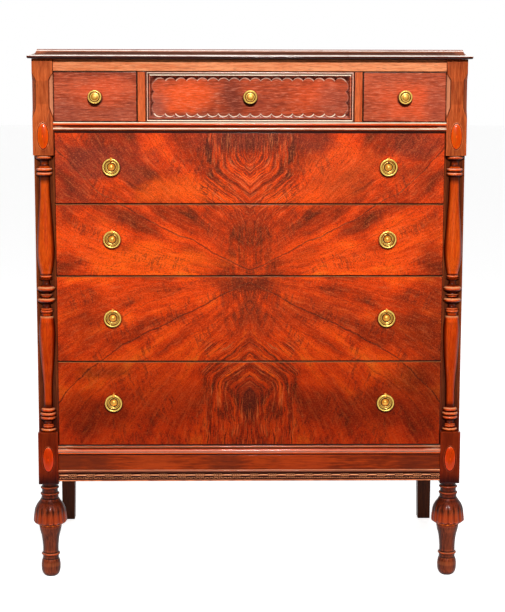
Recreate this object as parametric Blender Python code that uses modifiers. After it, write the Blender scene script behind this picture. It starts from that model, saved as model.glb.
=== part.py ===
"""A tall mahogany chest of drawers: three small drawers over four long ones, between turned
and carved front posts, with square back posts, brass knobs and brass ring pulls.

Metres, +Z up. The front faces -Y. The origin is on the floor under the middle of the chest."""

import math

import bmesh
import bpy
from mathutils import Matrix, Vector

# Clearances
GAP = 0.0003  # between two pieces that touch
REVEAL = 0.002  # between two drawer fronts, or a front and its frame
SLIDE_PLAY = 0.0015  # between a drawer and what guides its sides
HEADROOM = 0.006  # between a drawer's sides and the frame above

# The case and its top
CASE_WIDTH = 0.998
CASE_DEPTH = 0.538
TOP_THICKNESS = 0.021
TOP_SIDE_OVERHANG = 0.009
TOP_FRONT_OVERHANG = 0.018
TOP_BACK_OVERHANG = 0.002
# How far in, and at what share of the thickness down, each line of the moulded edge lies
TOP_EDGE = (
    (0.0220, 0.00),
    (0.0185, 0.40),
    (0.0150, 0.55),
    (0.0095, 0.64),
    (0.0035, 0.69),
    (0.0008, 0.76),
    (0.0000, 0.86),
    (0.0008, 0.95),
    (0.0025, 1.00),
)

# Heights of the front, from the floor up
LEG_HEIGHT = 0.2289
BLOCK_DROP = 0.0067  # the posts' square blocks end this far under the case
BASE_RAIL_HEIGHT = 0.0624
BASE_FRAME_HEIGHT = 0.0238
LONG_DRAWER_HEIGHTS = (0.2010, 0.2022, 0.1681, 0.1659)  # from the bottom up
WAIST_FRAME_HEIGHT = 0.0230
SMALL_DRAWER_HEIGHT = 0.1152
TOP_RAIL_HEIGHT = 0.0288

# The front posts, with their turned legs and half columns
POST = 0.047
UPPER_BLOCK = 0.2205
LOWER_BLOCK = 0.1244
POST_ROUND = 16  # flats around a turned leg or column
SPIGOT = 0.005  # a turned leg runs this far up into its block
BOSS_WIDTH = 0.0245
BOSS_HEIGHT = 0.0590
BOSS_RISE = 0.0040
UPPER_BOSS_UP = 0.0440  # above the foot of the upper block
LOWER_BOSS_UP = 0.0600  # above the foot of the lower block
CHAMFER = 0.0090
CHAMFER_FROM_TOP = 0.0330
CHAMFER_LENGTH = 0.1020
# Each turned member is its kind, its height and its radius
COLUMN_HEAD = (
    ("bead", 0.0097, 0.0205),
    ("neck", 0.0185, 0.0100),
    ("bead", 0.0098, 0.0196),
    ("bead", 0.0100, 0.0196),
)
COLUMN_WAIST = (
    ("bead", 0.0090, 0.0149),
    ("neck", 0.0185, 0.0088),
    ("bead", 0.0115, 0.0222),
    ("neck", 0.0090, 0.0090),
    ("bead", 0.0070, 0.0125),
    ("bead", 0.0105, 0.0216),
    ("neck", 0.0165, 0.0094),
    ("bead", 0.0095, 0.0159),
    ("neck", 0.0065, 0.0129),
)
COLUMN_FOOT = (
    ("bead", 0.0110, 0.0177),
    ("bead", 0.0090, 0.0198),
    ("bead", 0.0095, 0.0189),
    ("neck", 0.0125, 0.0106),
    ("bead", 0.0075, 0.0142),
    ("bead", 0.0080, 0.0189),
)
LEG_HEAD = (
    ("neck", 0.0079, 0.0178),
    ("bead", 0.0075, 0.0219),
    ("neck", 0.0075, 0.0188),
    ("bead", 0.0075, 0.0225),
    ("neck", 0.0085, 0.0202),
)
ANKLE = (
    ("bead", 0.0085, 0.0220),
    ("neck", 0.0075, 0.0189),
)
# Each swelling shape is its radius at shares of its height, from the top down
UPPER_SHAFT = (
    (0.00, 0.0124),
    (0.22, 0.0136),
    (0.53, 0.0186),
    (0.74, 0.0214),
    (0.88, 0.0194),
    (1.00, 0.0137),
)
LOWER_SHAFT = (
    (0.00, 0.0164),
    (0.19, 0.0199),
    (0.49, 0.0163),
    (0.68, 0.0127),
    (0.82, 0.0112),
    (1.00, 0.0112),
)
BULB = (
    (0.00, 0.0205),
    (0.10, 0.0338),
    (0.38, 0.0386),
    (0.65, 0.0397),
    (0.80, 0.0397),
    (0.94, 0.0358),
    (1.00, 0.0265),
)
SHANK = ((0.04, 0.0263), (0.19, 0.0241), (0.42, 0.0195), (0.75, 0.0170), (1.00, 0.0170))
BALL = ((0.15, 0.0218), (0.36, 0.0230), (0.60, 0.0218), (0.82, 0.0185), (1.00, 0.0144))
UPPER_SHAFT_SHARE = 0.513  # of the height that the two shafts fill
BULB_HEIGHT = 0.0580
BALL_HEIGHT = 0.0430

# The back posts, sides and back
BACK_POST = 0.038
BACK_POST_INSET = 0.003
BACK_POST_TAPER = 0.005
SIDE_THICKNESS = 0.018
SIDE_INSET = 0.007
BACK_THICKNESS = 0.006
BACK_INSET = 0.002

# The frames that the drawers run on
FRAME_THICKNESS = 0.018
FRAME_RAIL = 0.060
DUST_PANEL = 0.005
GUIDE_HEIGHT = 0.012
FACE_INSET = 0.006  # from the posts' faces back to the drawers' faces
FRONT_THICKNESS = 0.020
RAIL_THICKNESS = 0.022
DIVIDER = 0.019
DIVIDER_DEPTH = 0.041
CENTRE_OPENING = 0.479

# How far in front of the drawers' faces, and at what share of its frame's height up, each line
# of a moulding lies
WAIST_MOULDING = (
    (0.0000, 0.13),
    (0.0045, 0.17),
    (0.0068, 0.30),
    (0.0068, 0.43),
    (0.0035, 0.56),
    (0.0060, 0.70),
    (0.0060, 0.89),
    (0.0030, 0.99),
)
BASE_MOULDING = (
    (0.0000, 0.17),
    (0.0030, 0.25),
    (0.0064, 0.36),
    (0.0076, 0.53),
    (0.0064, 0.69),
    (0.0032, 0.79),
    (0.0046, 0.86),
    (0.0046, 0.93),
    (0.0020, 0.99),
)
STRIP_HEIGHT = 0.0270
STRIP_THICKNESS = 0.0058
STRIP_LIP = 0.0035  # the thickness of the strip's two edges
STRIP_LIP_HEIGHT = 0.0030

# The drawers
BACK_ROOM = 0.0137  # behind a closed drawer
LONG_SIDE = 0.012
SMALL_SIDE = 0.010
BOTTOM_THICKNESS = 0.005
BOTTOM_UP = 0.008
GROOVE = 0.005
GROOVE_PLAY = 0.0004
FRONT_BEVEL = 0.0008
# The scalloped field of the middle small drawer
FIELD_END_MARGIN = 0.0105
FIELD_EDGE_MARGIN = 0.0091
FIELD_DEPTH = 0.0040
SCALLOP_PITCH = 0.0248
SCALLOP_DEPTH = 0.0050
SCALLOP_STEPS = 3

# The brass
KNOB_ROUND = 16
KNOB_REACH = 0.0230
KNOB_RADIUS = 0.0156
KNOB_BASE = 0.0090
KNOB_STEM = 0.0055
PULL_FROM_POST = 0.132
PULL_UP = 0.0025  # above the middle of the drawer
RING_RADIUS = 0.0182
RING_WIRE = 0.0019
RING_ROUND = 20
WIRE_ROUND = 6
PLATE_PLAY = 0.0011  # between the plate and the ring around it
PLATE_RIM = 0.0020
PLATE_ROUND = 12
DOME_RADIUS = 0.0092
DOME_REACH = 0.0072
EYE_REACH = 0.0095
EYE_PLAY = 0.0007
EYE_WALL = 0.0018
EYE_WIDTH = 0.0046
EYE_SHANK = 0.0028
EYE_TONGUE = 0.0060
EYE_THICKNESS = 0.0016
EYE_ROUND = 8

# Places that follow from those sizes
TOP_WIDTH = CASE_WIDTH + 2 * TOP_SIDE_OVERHANG
TOP_DEPTH = CASE_DEPTH + TOP_FRONT_OVERHANG + TOP_BACK_OVERHANG
FRONT = -TOP_DEPTH / 2 + TOP_FRONT_OVERHANG  # the posts' faces
BACK = FRONT + CASE_DEPTH
FACE = FRONT + FACE_INSET
FRONT_BACK = FACE + FRONT_THICKNESS
CASE_BOTTOM = LEG_HEIGHT + BLOCK_DROP
BASE_TOP = CASE_BOTTOM + BASE_RAIL_HEIGHT
LONG_BOTTOM = BASE_TOP + BASE_FRAME_HEIGHT
LONG_TOP = LONG_BOTTOM + sum(LONG_DRAWER_HEIGHTS)
WAIST_TOP = LONG_TOP + WAIST_FRAME_HEIGHT
SMALL_TOP = WAIST_TOP + SMALL_DRAWER_HEIGHT
CASE_TOP = SMALL_TOP + TOP_RAIL_HEIGHT
UPPER_BLOCK_BOTTOM = CASE_TOP - UPPER_BLOCK
LOWER_BLOCK_TOP = LEG_HEIGHT + LOWER_BLOCK
POST_OUTER = CASE_WIDTH / 2
POST_X = POST_OUTER - POST / 2
POST_INNER = POST_OUTER - POST
BACK_POST_OUTER = POST_OUTER - BACK_POST_INSET
BACK_POST_INNER = BACK_POST_OUTER - BACK_POST
BACK_POST_FRONT = BACK - BACK_POST
SIDE_OUTER = POST_OUTER - SIDE_INSET
SIDE_INNER = SIDE_OUTER - SIDE_THICKNESS
BACK_PANEL_FRONT = BACK - BACK_INSET - BACK_THICKNESS
DIVIDER_X = CENTRE_OPENING / 2 + DIVIDER / 2
BOX_FRONT = FRONT_THICKNESS + GAP  # behind the drawers' faces, as is the next
BOX_BACK = BACK_PANEL_FRONT - BACK_ROOM - FACE
PULL_X = POST_INNER - PULL_FROM_POST
PLATE_RADIUS = RING_RADIUS - RING_WIRE - PLATE_PLAY
EYE_HOLE = RING_WIRE + EYE_PLAY
EYE_RADIUS = EYE_HOLE + EYE_WALL

MAHOGANY = ("mahogany", (0.24, 0.055, 0.020), 0.30, 0.0)
VENEER = ("figured_veneer", (0.30, 0.060, 0.018), 0.25, 0.0)
DARK_WOOD = ("dark_mahogany", (0.040, 0.014, 0.010), 0.40, 0.0)
POPLAR = ("drawer_wood", (0.50, 0.33, 0.17), 0.65, 0.0)
PLYWOOD = ("back_board", (0.38, 0.22, 0.11), 0.75, 0.0)
BRASS = ("brass", (0.83, 0.57, 0.22), 0.28, 1.0)


def clear_scene():
    for obj in list(bpy.data.objects):
        bpy.data.objects.remove(obj, do_unlink=True)


def new_collection(name):
    collection = bpy.data.collections.new(name)
    bpy.context.scene.collection.children.link(collection)
    return collection


def finish_material(finish, owner):
    """A material of the piece's own, from a finish's name, colour, roughness and metallic value."""
    kind, colour, roughness, metallic = finish
    material = bpy.data.materials.new(f"{kind}_{owner}")
    material.use_nodes = True
    shader = material.node_tree.nodes["Principled BSDF"]
    shader.inputs["Base Color"].default_value = (*colour, 1)
    shader.inputs["Roughness"].default_value = roughness
    shader.inputs["Metallic"].default_value = metallic
    return material


def place(name, mesh, finish, parent=None, location=(0, 0, 0)):
    """Adds a piece of the chest."""
    obj = bpy.data.objects.new(name, mesh)
    mesh.materials.append(finish_material(finish, name))
    chest.objects.link(obj)
    obj.parent = parent
    obj.location = location
    return obj


def helper(name, mesh, parent=None, location=(0, 0, 0)):
    """Adds a shape that only cuts or joins a piece."""
    obj = bpy.data.objects.new(name, mesh)
    cutters.objects.link(obj)
    obj.parent = parent
    obj.location = location
    obj.hide_render = True
    obj.display_type = "WIRE"
    return obj


def boolean(obj, other, operation, solver="EXACT"):
    modifier = obj.modifiers.new(other.name, "BOOLEAN")
    modifier.object = other
    modifier.operation = operation
    modifier.solver = solver


def cut(obj, *others):
    for other in others:
        boolean(obj, other, "DIFFERENCE")


def join(obj, *others):
    for other in others:
        boolean(obj, other, "UNION")


def block_mesh(name, *boxes):
    """Square-cornered blocks, each given by its lowest and highest corners."""
    shape = bmesh.new()
    for low, high in boxes:
        low, high = Vector(low), Vector(high)
        size = high - low
        matrix = Matrix.Translation((low + high) / 2) @ Matrix.Diagonal((*size, 1))
        bmesh.ops.create_cube(shape, size=1, matrix=matrix)
    mesh = bpy.data.meshes.new(name)
    shape.to_mesh(mesh)
    shape.free()
    return mesh


def outline_mesh(name, points, thickness):
    """A flat outline in X and Y, given its thickness along Z about the middle."""
    curve = bpy.data.curves.new(name, "CURVE")
    curve.dimensions = "2D"
    curve.fill_mode = "BOTH"
    curve.extrude = thickness / 2
    spline = curve.splines.new("POLY")
    spline.points.add(len(points) - 1)
    for point, (x, y) in zip(spline.points, points):
        point.co = (x, y, 0, 1)
    spline.use_cyclic_u = True
    guide = bpy.data.objects.new(name, curve)
    cutters.objects.link(guide)
    graph = bpy.context.evaluated_depsgraph_get()
    mesh = bpy.data.meshes.new_from_object(guide.evaluated_get(graph))
    bpy.data.objects.remove(guide, do_unlink=True)
    shape = bmesh.new()
    shape.from_mesh(mesh)
    bmesh.ops.remove_doubles(shape, verts=shape.verts, dist=0.00001)
    bmesh.ops.recalc_face_normals(shape, faces=shape.faces)
    shape.to_mesh(mesh)
    shape.free()
    return mesh


def moulding_mesh(name, lines, root, length):
    """A moulding that runs along X, from lines of (distance forward, height) to root behind."""
    points = [(root, lines[0][1])]
    points += [(-forward, height) for forward, height in lines]
    points += [(root, lines[-1][1])]
    mesh = outline_mesh(name, points, length)
    # The outline's X becomes Y, its Y becomes Z, and its thickness runs along X.
    mesh.transform(Matrix(((0, 0, 1, 0), (1, 0, 0, 0), (0, 1, 0, 0), (0, 0, 0, 1))))
    return mesh


def turned_lines(members, z):
    """The profile of beads and necks, as (radius, height) from z down."""
    lines = []
    for kind, height, radius in members:
        if kind == "bead":
            root = radius - height / 2
            lines += [(root, z), (radius, z - 0.3 * height), (radius, z - 0.7 * height)]
            lines += [(root, z - height)]
        else:
            lines += [(radius, z - 0.3 * height), (radius, z - 0.7 * height)]
        z -= height
    return lines


def swelling_lines(shares, z, height):
    return [(radius, z - share * height) for share, radius in shares]


def height_of(members):
    return sum(height for _, height, _ in members)


def screw(obj, steps):
    """Turns a profile about its own Z."""
    modifier = obj.modifiers.new("Turning", "SCREW")
    modifier.steps = steps
    modifier.render_steps = steps
    modifier.use_merge_vertices = True
    modifier.merge_threshold = 0.00001
    modifier.use_smooth_shade = True


def profile_mesh(name, lines):
    """A profile at +X from top to bottom, closed on the axis at both ends."""
    lines = [(0, lines[0][1]), *lines, (0, lines[-1][1])]
    mesh = bpy.data.meshes.new(name)
    shape = bmesh.new()
    corners = []
    for radius, z in lines:
        if not corners or (corners[-1].co - Vector((radius, 0, z))).length > GAP / 3:
            corners.append(shape.verts.new((radius, 0, z)))
    for upper, lower in zip(corners, corners[1:]):
        shape.edges.new((upper, lower))
    shape.to_mesh(mesh)
    shape.free()
    return mesh


def oval_mesh(name, size):
    """An egg-round boss of the given width, depth and height."""
    shape = bmesh.new()
    bmesh.ops.create_uvsphere(shape, u_segments=12, v_segments=8, radius=0.5)
    bmesh.ops.scale(shape, verts=shape.verts, vec=size)
    mesh = bpy.data.meshes.new(name)
    shape.to_mesh(mesh)
    shape.free()
    return mesh


def make_top():
    """The top is one board whose front and ends are moulded, and whose back edge is square."""
    shape = bmesh.new()
    bmesh.ops.create_grid(shape, x_segments=1, y_segments=1, size=0.5)
    face = next(iter(shape.faces))
    for step, (inset, drop) in enumerate(TOP_EDGE):
        if step:
            new = bmesh.ops.extrude_face_region(shape, geom=[face])
            if step > 1:
                bmesh.ops.delete(shape, geom=[face], context="FACES_ONLY")
            face = next(item for item in new["geom"] if isinstance(item, bmesh.types.BMFace))
        for corner in face.verts:
            corner.co.x = math.copysign(TOP_WIDTH / 2 - inset, corner.co.x)
            corner.co.y = TOP_DEPTH / 2 if corner.co.y > 0 else inset - TOP_DEPTH / 2
            corner.co.z = CASE_TOP + TOP_THICKNESS * (1 - drop)
    bmesh.ops.recalc_face_normals(shape, faces=shape.faces)
    mesh = bpy.data.meshes.new("top")
    shape.to_mesh(mesh)
    shape.free()
    place("top", mesh, MAHOGANY)


def leg_lines():
    """The turned leg, from inside its block down to the floor."""
    shank_height = LEG_HEIGHT - height_of(LEG_HEAD) - BULB_HEIGHT - height_of(ANKLE) - BALL_HEIGHT
    lines = [(LEG_HEAD[0][2], LEG_HEIGHT + SPIGOT)]
    lines += turned_lines(LEG_HEAD, LEG_HEIGHT)
    z = LEG_HEIGHT - height_of(LEG_HEAD)
    lines += swelling_lines(BULB, z, BULB_HEIGHT)
    z -= BULB_HEIGHT
    lines += swelling_lines(SHANK, z, shank_height)
    z -= shank_height
    lines += turned_lines(ANKLE, z)
    return lines + swelling_lines(BALL, BALL_HEIGHT, BALL_HEIGHT)


def column_lines():
    """The half column, which fills the height between the two blocks of its post."""
    top = UPPER_BLOCK_BOTTOM - GAP
    height = top - LOWER_BLOCK_TOP - GAP
    shafts = height - height_of(COLUMN_HEAD + COLUMN_WAIST + COLUMN_FOOT)
    upper = shafts * UPPER_SHAFT_SHARE
    lines = turned_lines(COLUMN_HEAD, top)
    z = top - height_of(COLUMN_HEAD)
    lines += swelling_lines(UPPER_SHAFT, z, upper)
    z -= upper
    lines += turned_lines(COLUMN_WAIST, z)
    z -= height_of(COLUMN_WAIST)
    lines += swelling_lines(LOWER_SHAFT, z, shafts - upper)
    z -= shafts - upper
    return lines + turned_lines(COLUMN_FOOT, z)


def make_front_post(side, x):
    """One billet: a turned leg, a square block, a stile behind the half column, and a block."""
    y = FRONT + POST / 2
    billet = ((-POST / 2, -POST / 2, LEG_HEIGHT), (POST / 2, POST / 2, CASE_TOP - GAP))
    post = place(f"front_post_{side}", block_mesh("post", billet), MAHOGANY, location=(x, y, 0))
    leg = helper(f"leg_{side}", profile_mesh("leg", leg_lines()), location=(x, y, 0))
    screw(leg, POST_ROUND)
    join(post, leg)
    recess = ((-POST, -POST, LOWER_BLOCK_TOP), (POST, 0, UPPER_BLOCK_BOTTOM))
    recess = block_mesh("column_recess", recess)
    cut(post, helper(f"column_recess_{side}", recess, location=(x, y, 0)))
    bosses = ((UPPER_BLOCK_BOTTOM, UPPER_BOSS_UP), (LEG_HEIGHT, LOWER_BOSS_UP))
    for level, (foot, up) in enumerate(bosses):
        boss = helper(
            f"boss_{side}_{level}",
            oval_mesh("boss", (BOSS_WIDTH, 2 * BOSS_RISE, BOSS_HEIGHT)),
            location=(x, FRONT, foot + up),
        )
        join(post, boss)
    low = CASE_TOP - CHAMFER_FROM_TOP - CHAMFER_LENGTH
    outline = [
        (0, low),
        (CHAMFER, low + 2 * CHAMFER),
        (CHAMFER, low + CHAMFER_LENGTH - CHAMFER),
        (0, low + CHAMFER_LENGTH),
        (-CHAMFER, low + CHAMFER_LENGTH),
        (-CHAMFER, low),
    ]
    for corner in (-1, 1):
        mesh = outline_mesh("chamfer", outline, 4 * CHAMFER)
        # The outline's X points diagonally into the post, and its Y becomes Z.
        turn = Matrix.Rotation(math.radians(90), 4, "X")
        turn = Matrix.Rotation(math.radians(90 + corner * 45), 4, "Z") @ turn
        mesh.transform(Matrix.Diagonal((math.sqrt(0.5), math.sqrt(0.5), 1, 1)) @ turn)
        edge = (x + corner * POST / 2, FRONT, 0)
        cut(post, helper(f"chamfer_{side}_{corner + 1}", mesh, location=edge))


def make_half_column(side, x):
    """A split turning, glued to the face of the stile."""
    y = FRONT + POST / 2
    profile = profile_mesh("column", column_lines())
    column = place(f"half_column_{side}", profile, MAHOGANY, location=(x, y, 0))
    screw(column, POST_ROUND)
    behind = helper(
        f"column_back_{side}",
        block_mesh("column_back", ((-POST, -GAP, LEG_HEIGHT), (POST, POST, CASE_TOP))),
        location=(x, y, 0),
    )
    cut(column, behind)


def make_back_post(side, sign):
    """A square post that tapers on its two inner faces below the case."""
    shape = bmesh.new()
    height = CASE_TOP - GAP
    middle = Vector((sign * (BACK_POST_OUTER - BACK_POST / 2), BACK - BACK_POST / 2, height / 2))
    scale = Matrix.Diagonal((BACK_POST, BACK_POST, height, 1))
    bmesh.ops.create_cube(shape, size=1, matrix=Matrix.Translation(middle) @ scale)
    everything = shape.verts[:] + shape.edges[:] + shape.faces[:]
    bmesh.ops.bisect_plane(shape, geom=everything, plane_co=(0, 0, CASE_BOTTOM), plane_no=(0, 0, 1))
    for corner in shape.verts:
        if corner.co.z > CASE_BOTTOM / 2:
            continue
        if abs(corner.co.x) < abs(middle.x):
            corner.co.x += sign * BACK_POST_TAPER
        if corner.co.y < middle.y:
            corner.co.y += BACK_POST_TAPER
    mesh = bpy.data.meshes.new("back_post")
    shape.to_mesh(mesh)
    shape.free()
    place(f"back_post_{side}", mesh, DARK_WOOD)


def make_shell():
    """The sides between the posts, and the thin back."""
    front = FRONT + POST + GAP
    back = BACK_POST_FRONT - GAP
    for side, sign in (("left", -1), ("right", 1)):
        ends = sorted((sign * SIDE_INNER, sign * SIDE_OUTER))
        corners = ((ends[0], front, CASE_BOTTOM), (ends[1], back, CASE_TOP - GAP))
        place(f"side_panel_{side}", block_mesh("side_panel", corners), MAHOGANY)
    half = BACK_POST_INNER - GAP
    corners = (
        (-half, BACK_PANEL_FRONT, BASE_TOP),
        (half, BACK_PANEL_FRONT + BACK_THICKNESS, CASE_TOP - GAP),
    )
    place("back_panel", block_mesh("back_panel", corners), PLYWOOD)


def frame(name, finish, front, low, high, notches):
    """A frame between the sides, with a thin dust panel halfway up its open middle."""
    half = SIDE_INNER - GAP
    back = BACK_PANEL_FRONT - GAP
    piece = place(name, block_mesh(name, ((-half, front, low), (half, back, high))), finish)
    cut(piece, notches)
    left, right = FRAME_RAIL - half, half - FRAME_RAIL
    near, far = max(front, FRONT_BACK) + FRAME_RAIL, back - FRAME_RAIL
    middle = (low + high) / 2
    pockets = block_mesh(
        f"{name}_pockets",
        ((left, near, low - FRAME_RAIL), (right, far, middle - DUST_PANEL / 2)),
        ((left, near, middle + DUST_PANEL / 2), (right, far, high + FRAME_RAIL)),
    )
    cut(piece, helper(f"{name}_pockets", pockets))
    return piece


def add_guides(piece, top, inner, outer, start):
    """A strip at each side on top of a frame, which keeps the drawers running straight."""
    root = top - FRAME_THICKNESS / 2
    for sign in (-1, 1):
        ends = sorted((sign * inner, sign * outer))
        corners = ((ends[0], start, root), (ends[1], BACK_POST_FRONT - GAP, top + GUIDE_HEIGHT))
        join(piece, helper(f"{piece.name}_guide", block_mesh("guide", corners)))


def add_moulding(piece, shape, foot, height):
    """The moulded front edge of a frame, between the posts."""
    lines = [(forward, share * height) for forward, share in shape]
    mesh = moulding_mesh("moulding", lines, RAIL_THICKNESS / 2, 2 * (POST_INNER - GAP))
    join(piece, helper(f"{piece.name}_moulding", mesh, location=(0, FACE, foot)))


def make_frames():
    """Every frame has notches in its corners for the four posts."""
    reach = POST + GAP
    boxes = []
    for sign in (-1, 1):
        ends = sorted((sign * (POST_INNER - GAP), sign * 2 * POST_OUTER))
        boxes.append(((ends[0], FRONT - reach, 0), (ends[1], FRONT + reach, 2 * CASE_TOP)))
        ends = sorted((sign * (BACK_POST_INNER - GAP), sign * 2 * POST_OUTER))
        boxes.append(((ends[0], BACK_POST_FRONT - GAP, 0), (ends[1], BACK + reach, 2 * CASE_TOP)))
    notches = helper("post_notches", block_mesh("post_notches", *boxes))
    rail_half = POST_INNER - GAP
    outer_guides = (POST_INNER, SIDE_INNER - GAP, FRONT + POST + GAP)

    top = frame("top_frame", MAHOGANY, FACE, SMALL_TOP, SMALL_TOP + FRAME_THICKNESS, notches)
    rail = ((-rail_half, FACE, SMALL_TOP), (rail_half, FACE + RAIL_THICKNESS, CASE_TOP - GAP))
    join(top, helper("top_rail", block_mesh("top_rail", rail)))

    waist = frame("waist_frame", MAHOGANY, FACE, LONG_TOP, WAIST_TOP, notches)
    add_moulding(waist, WAIST_MOULDING, LONG_TOP, WAIST_FRAME_HEIGHT)
    add_guides(waist, WAIST_TOP, *outer_guides)
    behind_divider = FACE + DIVIDER_DEPTH + GAP
    add_guides(
        waist, WAIST_TOP, DIVIDER_X - DIVIDER / 2, DIVIDER_X + DIVIDER / 2, behind_divider
    )

    base = frame("base_frame", MAHOGANY, FACE, BASE_TOP, LONG_BOTTOM, notches)
    add_moulding(base, BASE_MOULDING, BASE_TOP, BASE_FRAME_HEIGHT)
    add_guides(base, LONG_BOTTOM, *outer_guides)

    z = LONG_BOTTOM
    for name, height in zip(("lower", "middle", "upper"), LONG_DRAWER_HEIGHTS):
        z += height
        low, high = z - FRAME_THICKNESS / 2, z + FRAME_THICKNESS / 2
        piece = frame(f"dust_frame_{name}", POPLAR, FRONT_BACK + GAP, low, high, notches)
        add_guides(piece, high, *outer_guides)

    for side, sign in (("left", -1), ("right", 1)):
        x = sign * DIVIDER_X
        corners = (
            (x - DIVIDER / 2, FACE, WAIST_TOP + GAP),
            (x + DIVIDER / 2, FACE + DIVIDER_DEPTH, SMALL_TOP - GAP),
        )
        place(f"divider_{side}", block_mesh("divider", corners), MAHOGANY)


def make_base():
    """The plain rail under the drawers, and the carved strip glued along its foot."""
    half = POST_INNER - GAP
    rail = ((-half, FACE, CASE_BOTTOM), (half, FACE + RAIL_THICKNESS, BASE_TOP - GAP))
    place("base_rail", block_mesh("base_rail", rail), MAHOGANY)
    lines = (
        (STRIP_LIP, 0),
        (STRIP_LIP, STRIP_LIP_HEIGHT),
        (STRIP_THICKNESS, 2 * STRIP_LIP_HEIGHT),
        (STRIP_THICKNESS, STRIP_HEIGHT - 2 * STRIP_LIP_HEIGHT),
        (STRIP_LIP, STRIP_HEIGHT - STRIP_LIP_HEIGHT),
        (STRIP_LIP, STRIP_HEIGHT),
    )
    mesh = moulding_mesh("carved_strip", lines, -GAP, 2 * half)
    place("carved_strip", mesh, MAHOGANY, location=(0, FACE, CASE_BOTTOM))


def scalloped_outline(half_width, half_height):
    """The field's outline: shallow arcs that bulge outwards, between points on a rectangle."""
    signs = ((-1, -1), (1, -1), (1, 1), (-1, 1))
    corners = [Vector((x * half_width, y * half_height)) for x, y in signs]
    points = []
    for start, end in zip(corners, corners[1:] + corners[:1]):
        along = end - start
        outward = Vector((along.y, -along.x)).normalized()
        count = round(along.length / SCALLOP_PITCH)
        for step in range(count * SCALLOP_STEPS):
            arc = step % SCALLOP_STEPS / SCALLOP_STEPS
            bulge = SCALLOP_DEPTH * math.sin(math.pi * arc)
            points.append(start + along * step / (count * SCALLOP_STEPS) + outward * bulge)
    return points


def make_drawer(name, finish, x, width, low, high, floor, ceiling, side):
    """A drawer between two heights: its front, a dovetailed box of two sides and a back, and a
    bottom held in grooves. Its frame of reference is the middle of its face."""
    middle = (low + high) / 2
    anchor = bpy.data.objects.new(name, None)
    chest.objects.link(anchor)
    anchor.location = (x, FACE, middle)
    half = width / 2 - SLIDE_PLAY
    rise = (high - low) / 2 - REVEAL / 2
    corners = ((-half, 0, -rise), (half, FRONT_THICKNESS, rise))
    front = place(f"{name}_front", block_mesh("drawer_front", corners), finish, anchor)
    bevel = front.modifiers.new("Eased edges", "BEVEL")
    bevel.width = FRONT_BEVEL
    bevel.segments = 1

    inner = half - side
    points = [
        (-half, BOX_FRONT),
        (-inner, BOX_FRONT),
        (-inner, BOX_BACK - side),
        (inner, BOX_BACK - side),
        (inner, BOX_FRONT),
        (half, BOX_FRONT),
        (half, BOX_BACK),
        (-half, BOX_BACK),
    ]
    foot = floor + GAP - middle
    head = ceiling - HEADROOM - middle
    mesh = outline_mesh("drawer_box", points, head - foot)
    box = place(f"{name}_box", mesh, POPLAR, anchor, (0, 0, (foot + head) / 2))

    level = foot + BOTTOM_UP
    reach = inner + GROOVE
    near, far = FRONT_THICKNESS - GROOVE, BOX_BACK - side + GROOVE
    groove = (
        (-reach, near, level - GROOVE_PLAY),
        (reach, far, level + BOTTOM_THICKNESS + GROOVE_PLAY),
    )
    groove = helper(f"{name}_groove", block_mesh("groove", groove), anchor)
    cut(box, groove)
    cut(front, groove)
    panel = (
        (-reach + GROOVE_PLAY, near + GROOVE_PLAY, level),
        (reach - GROOVE_PLAY, far - GROOVE_PLAY, level + BOTTOM_THICKNESS),
    )
    place(f"{name}_bottom", block_mesh("drawer_bottom", panel), POPLAR, anchor)
    return anchor, front


def knob_lines():
    """The knob, from its domed face down to its base on the drawer."""
    reach, radius = KNOB_REACH, KNOB_RADIUS
    return [
        (0.20 * radius, reach),
        (0.55 * radius, 0.96 * reach),
        (0.72 * radius, 0.89 * reach),
        (0.92 * radius, 0.87 * reach),
        (radius, 0.79 * reach),
        (0.94 * radius, 0.71 * reach),
        (0.55 * radius, 0.56 * reach),
        (KNOB_STEM, 0.40 * reach),
        (KNOB_STEM, 0.14 * reach),
        (KNOB_BASE, 0.09 * reach),
        (KNOB_BASE, GAP),
    ]


def make_knob(name, anchor):
    knob = place(name, profile_mesh("knob", knob_lines()), BRASS, anchor)
    knob.rotation_euler = (math.radians(90), 0, 0)
    screw(knob, KNOB_ROUND)


def plate_lines():
    """The round plate behind a ring: a flat rim, a groove and a dome."""
    dome = DOME_REACH - PLATE_RIM
    return [
        (0.35 * DOME_RADIUS, DOME_REACH),
        (0.75 * DOME_RADIUS, PLATE_RIM + 0.72 * dome),
        (DOME_RADIUS, PLATE_RIM),
        (DOME_RADIUS + 0.001, 0.6 * PLATE_RIM),
        (0.86 * PLATE_RADIUS, 0.6 * PLATE_RIM),
        (0.92 * PLATE_RADIUS, PLATE_RIM),
        (PLATE_RADIUS, 0.7 * PLATE_RIM),
        (PLATE_RADIUS, GAP),
    ]


def round_bar(name, radius, length, axis):
    """A straight round bar about the origin, turned over about an axis."""
    shape = bmesh.new()
    bmesh.ops.create_cone(
        shape, cap_ends=True, segments=EYE_ROUND, radius1=radius, radius2=radius, depth=length
    )
    mesh = bpy.data.meshes.new(name)
    shape.to_mesh(mesh)
    shape.free()
    mesh.transform(Matrix.Rotation(math.radians(90), 4, axis))
    return mesh


def ring_mesh():
    """A wire ring that hangs below the origin, in the plane of X and Z."""
    bpy.ops.mesh.primitive_torus_add(
        major_segments=RING_ROUND,
        minor_segments=WIRE_ROUND,
        major_radius=RING_RADIUS,
        minor_radius=RING_WIRE,
    )
    guide = bpy.context.object
    mesh = guide.data
    bpy.data.objects.remove(guide, do_unlink=True)
    hang = Matrix.Translation((0, 0, -RING_RADIUS))
    mesh.transform(hang @ Matrix.Rotation(math.radians(90), 4, "X"))
    return mesh


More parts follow.
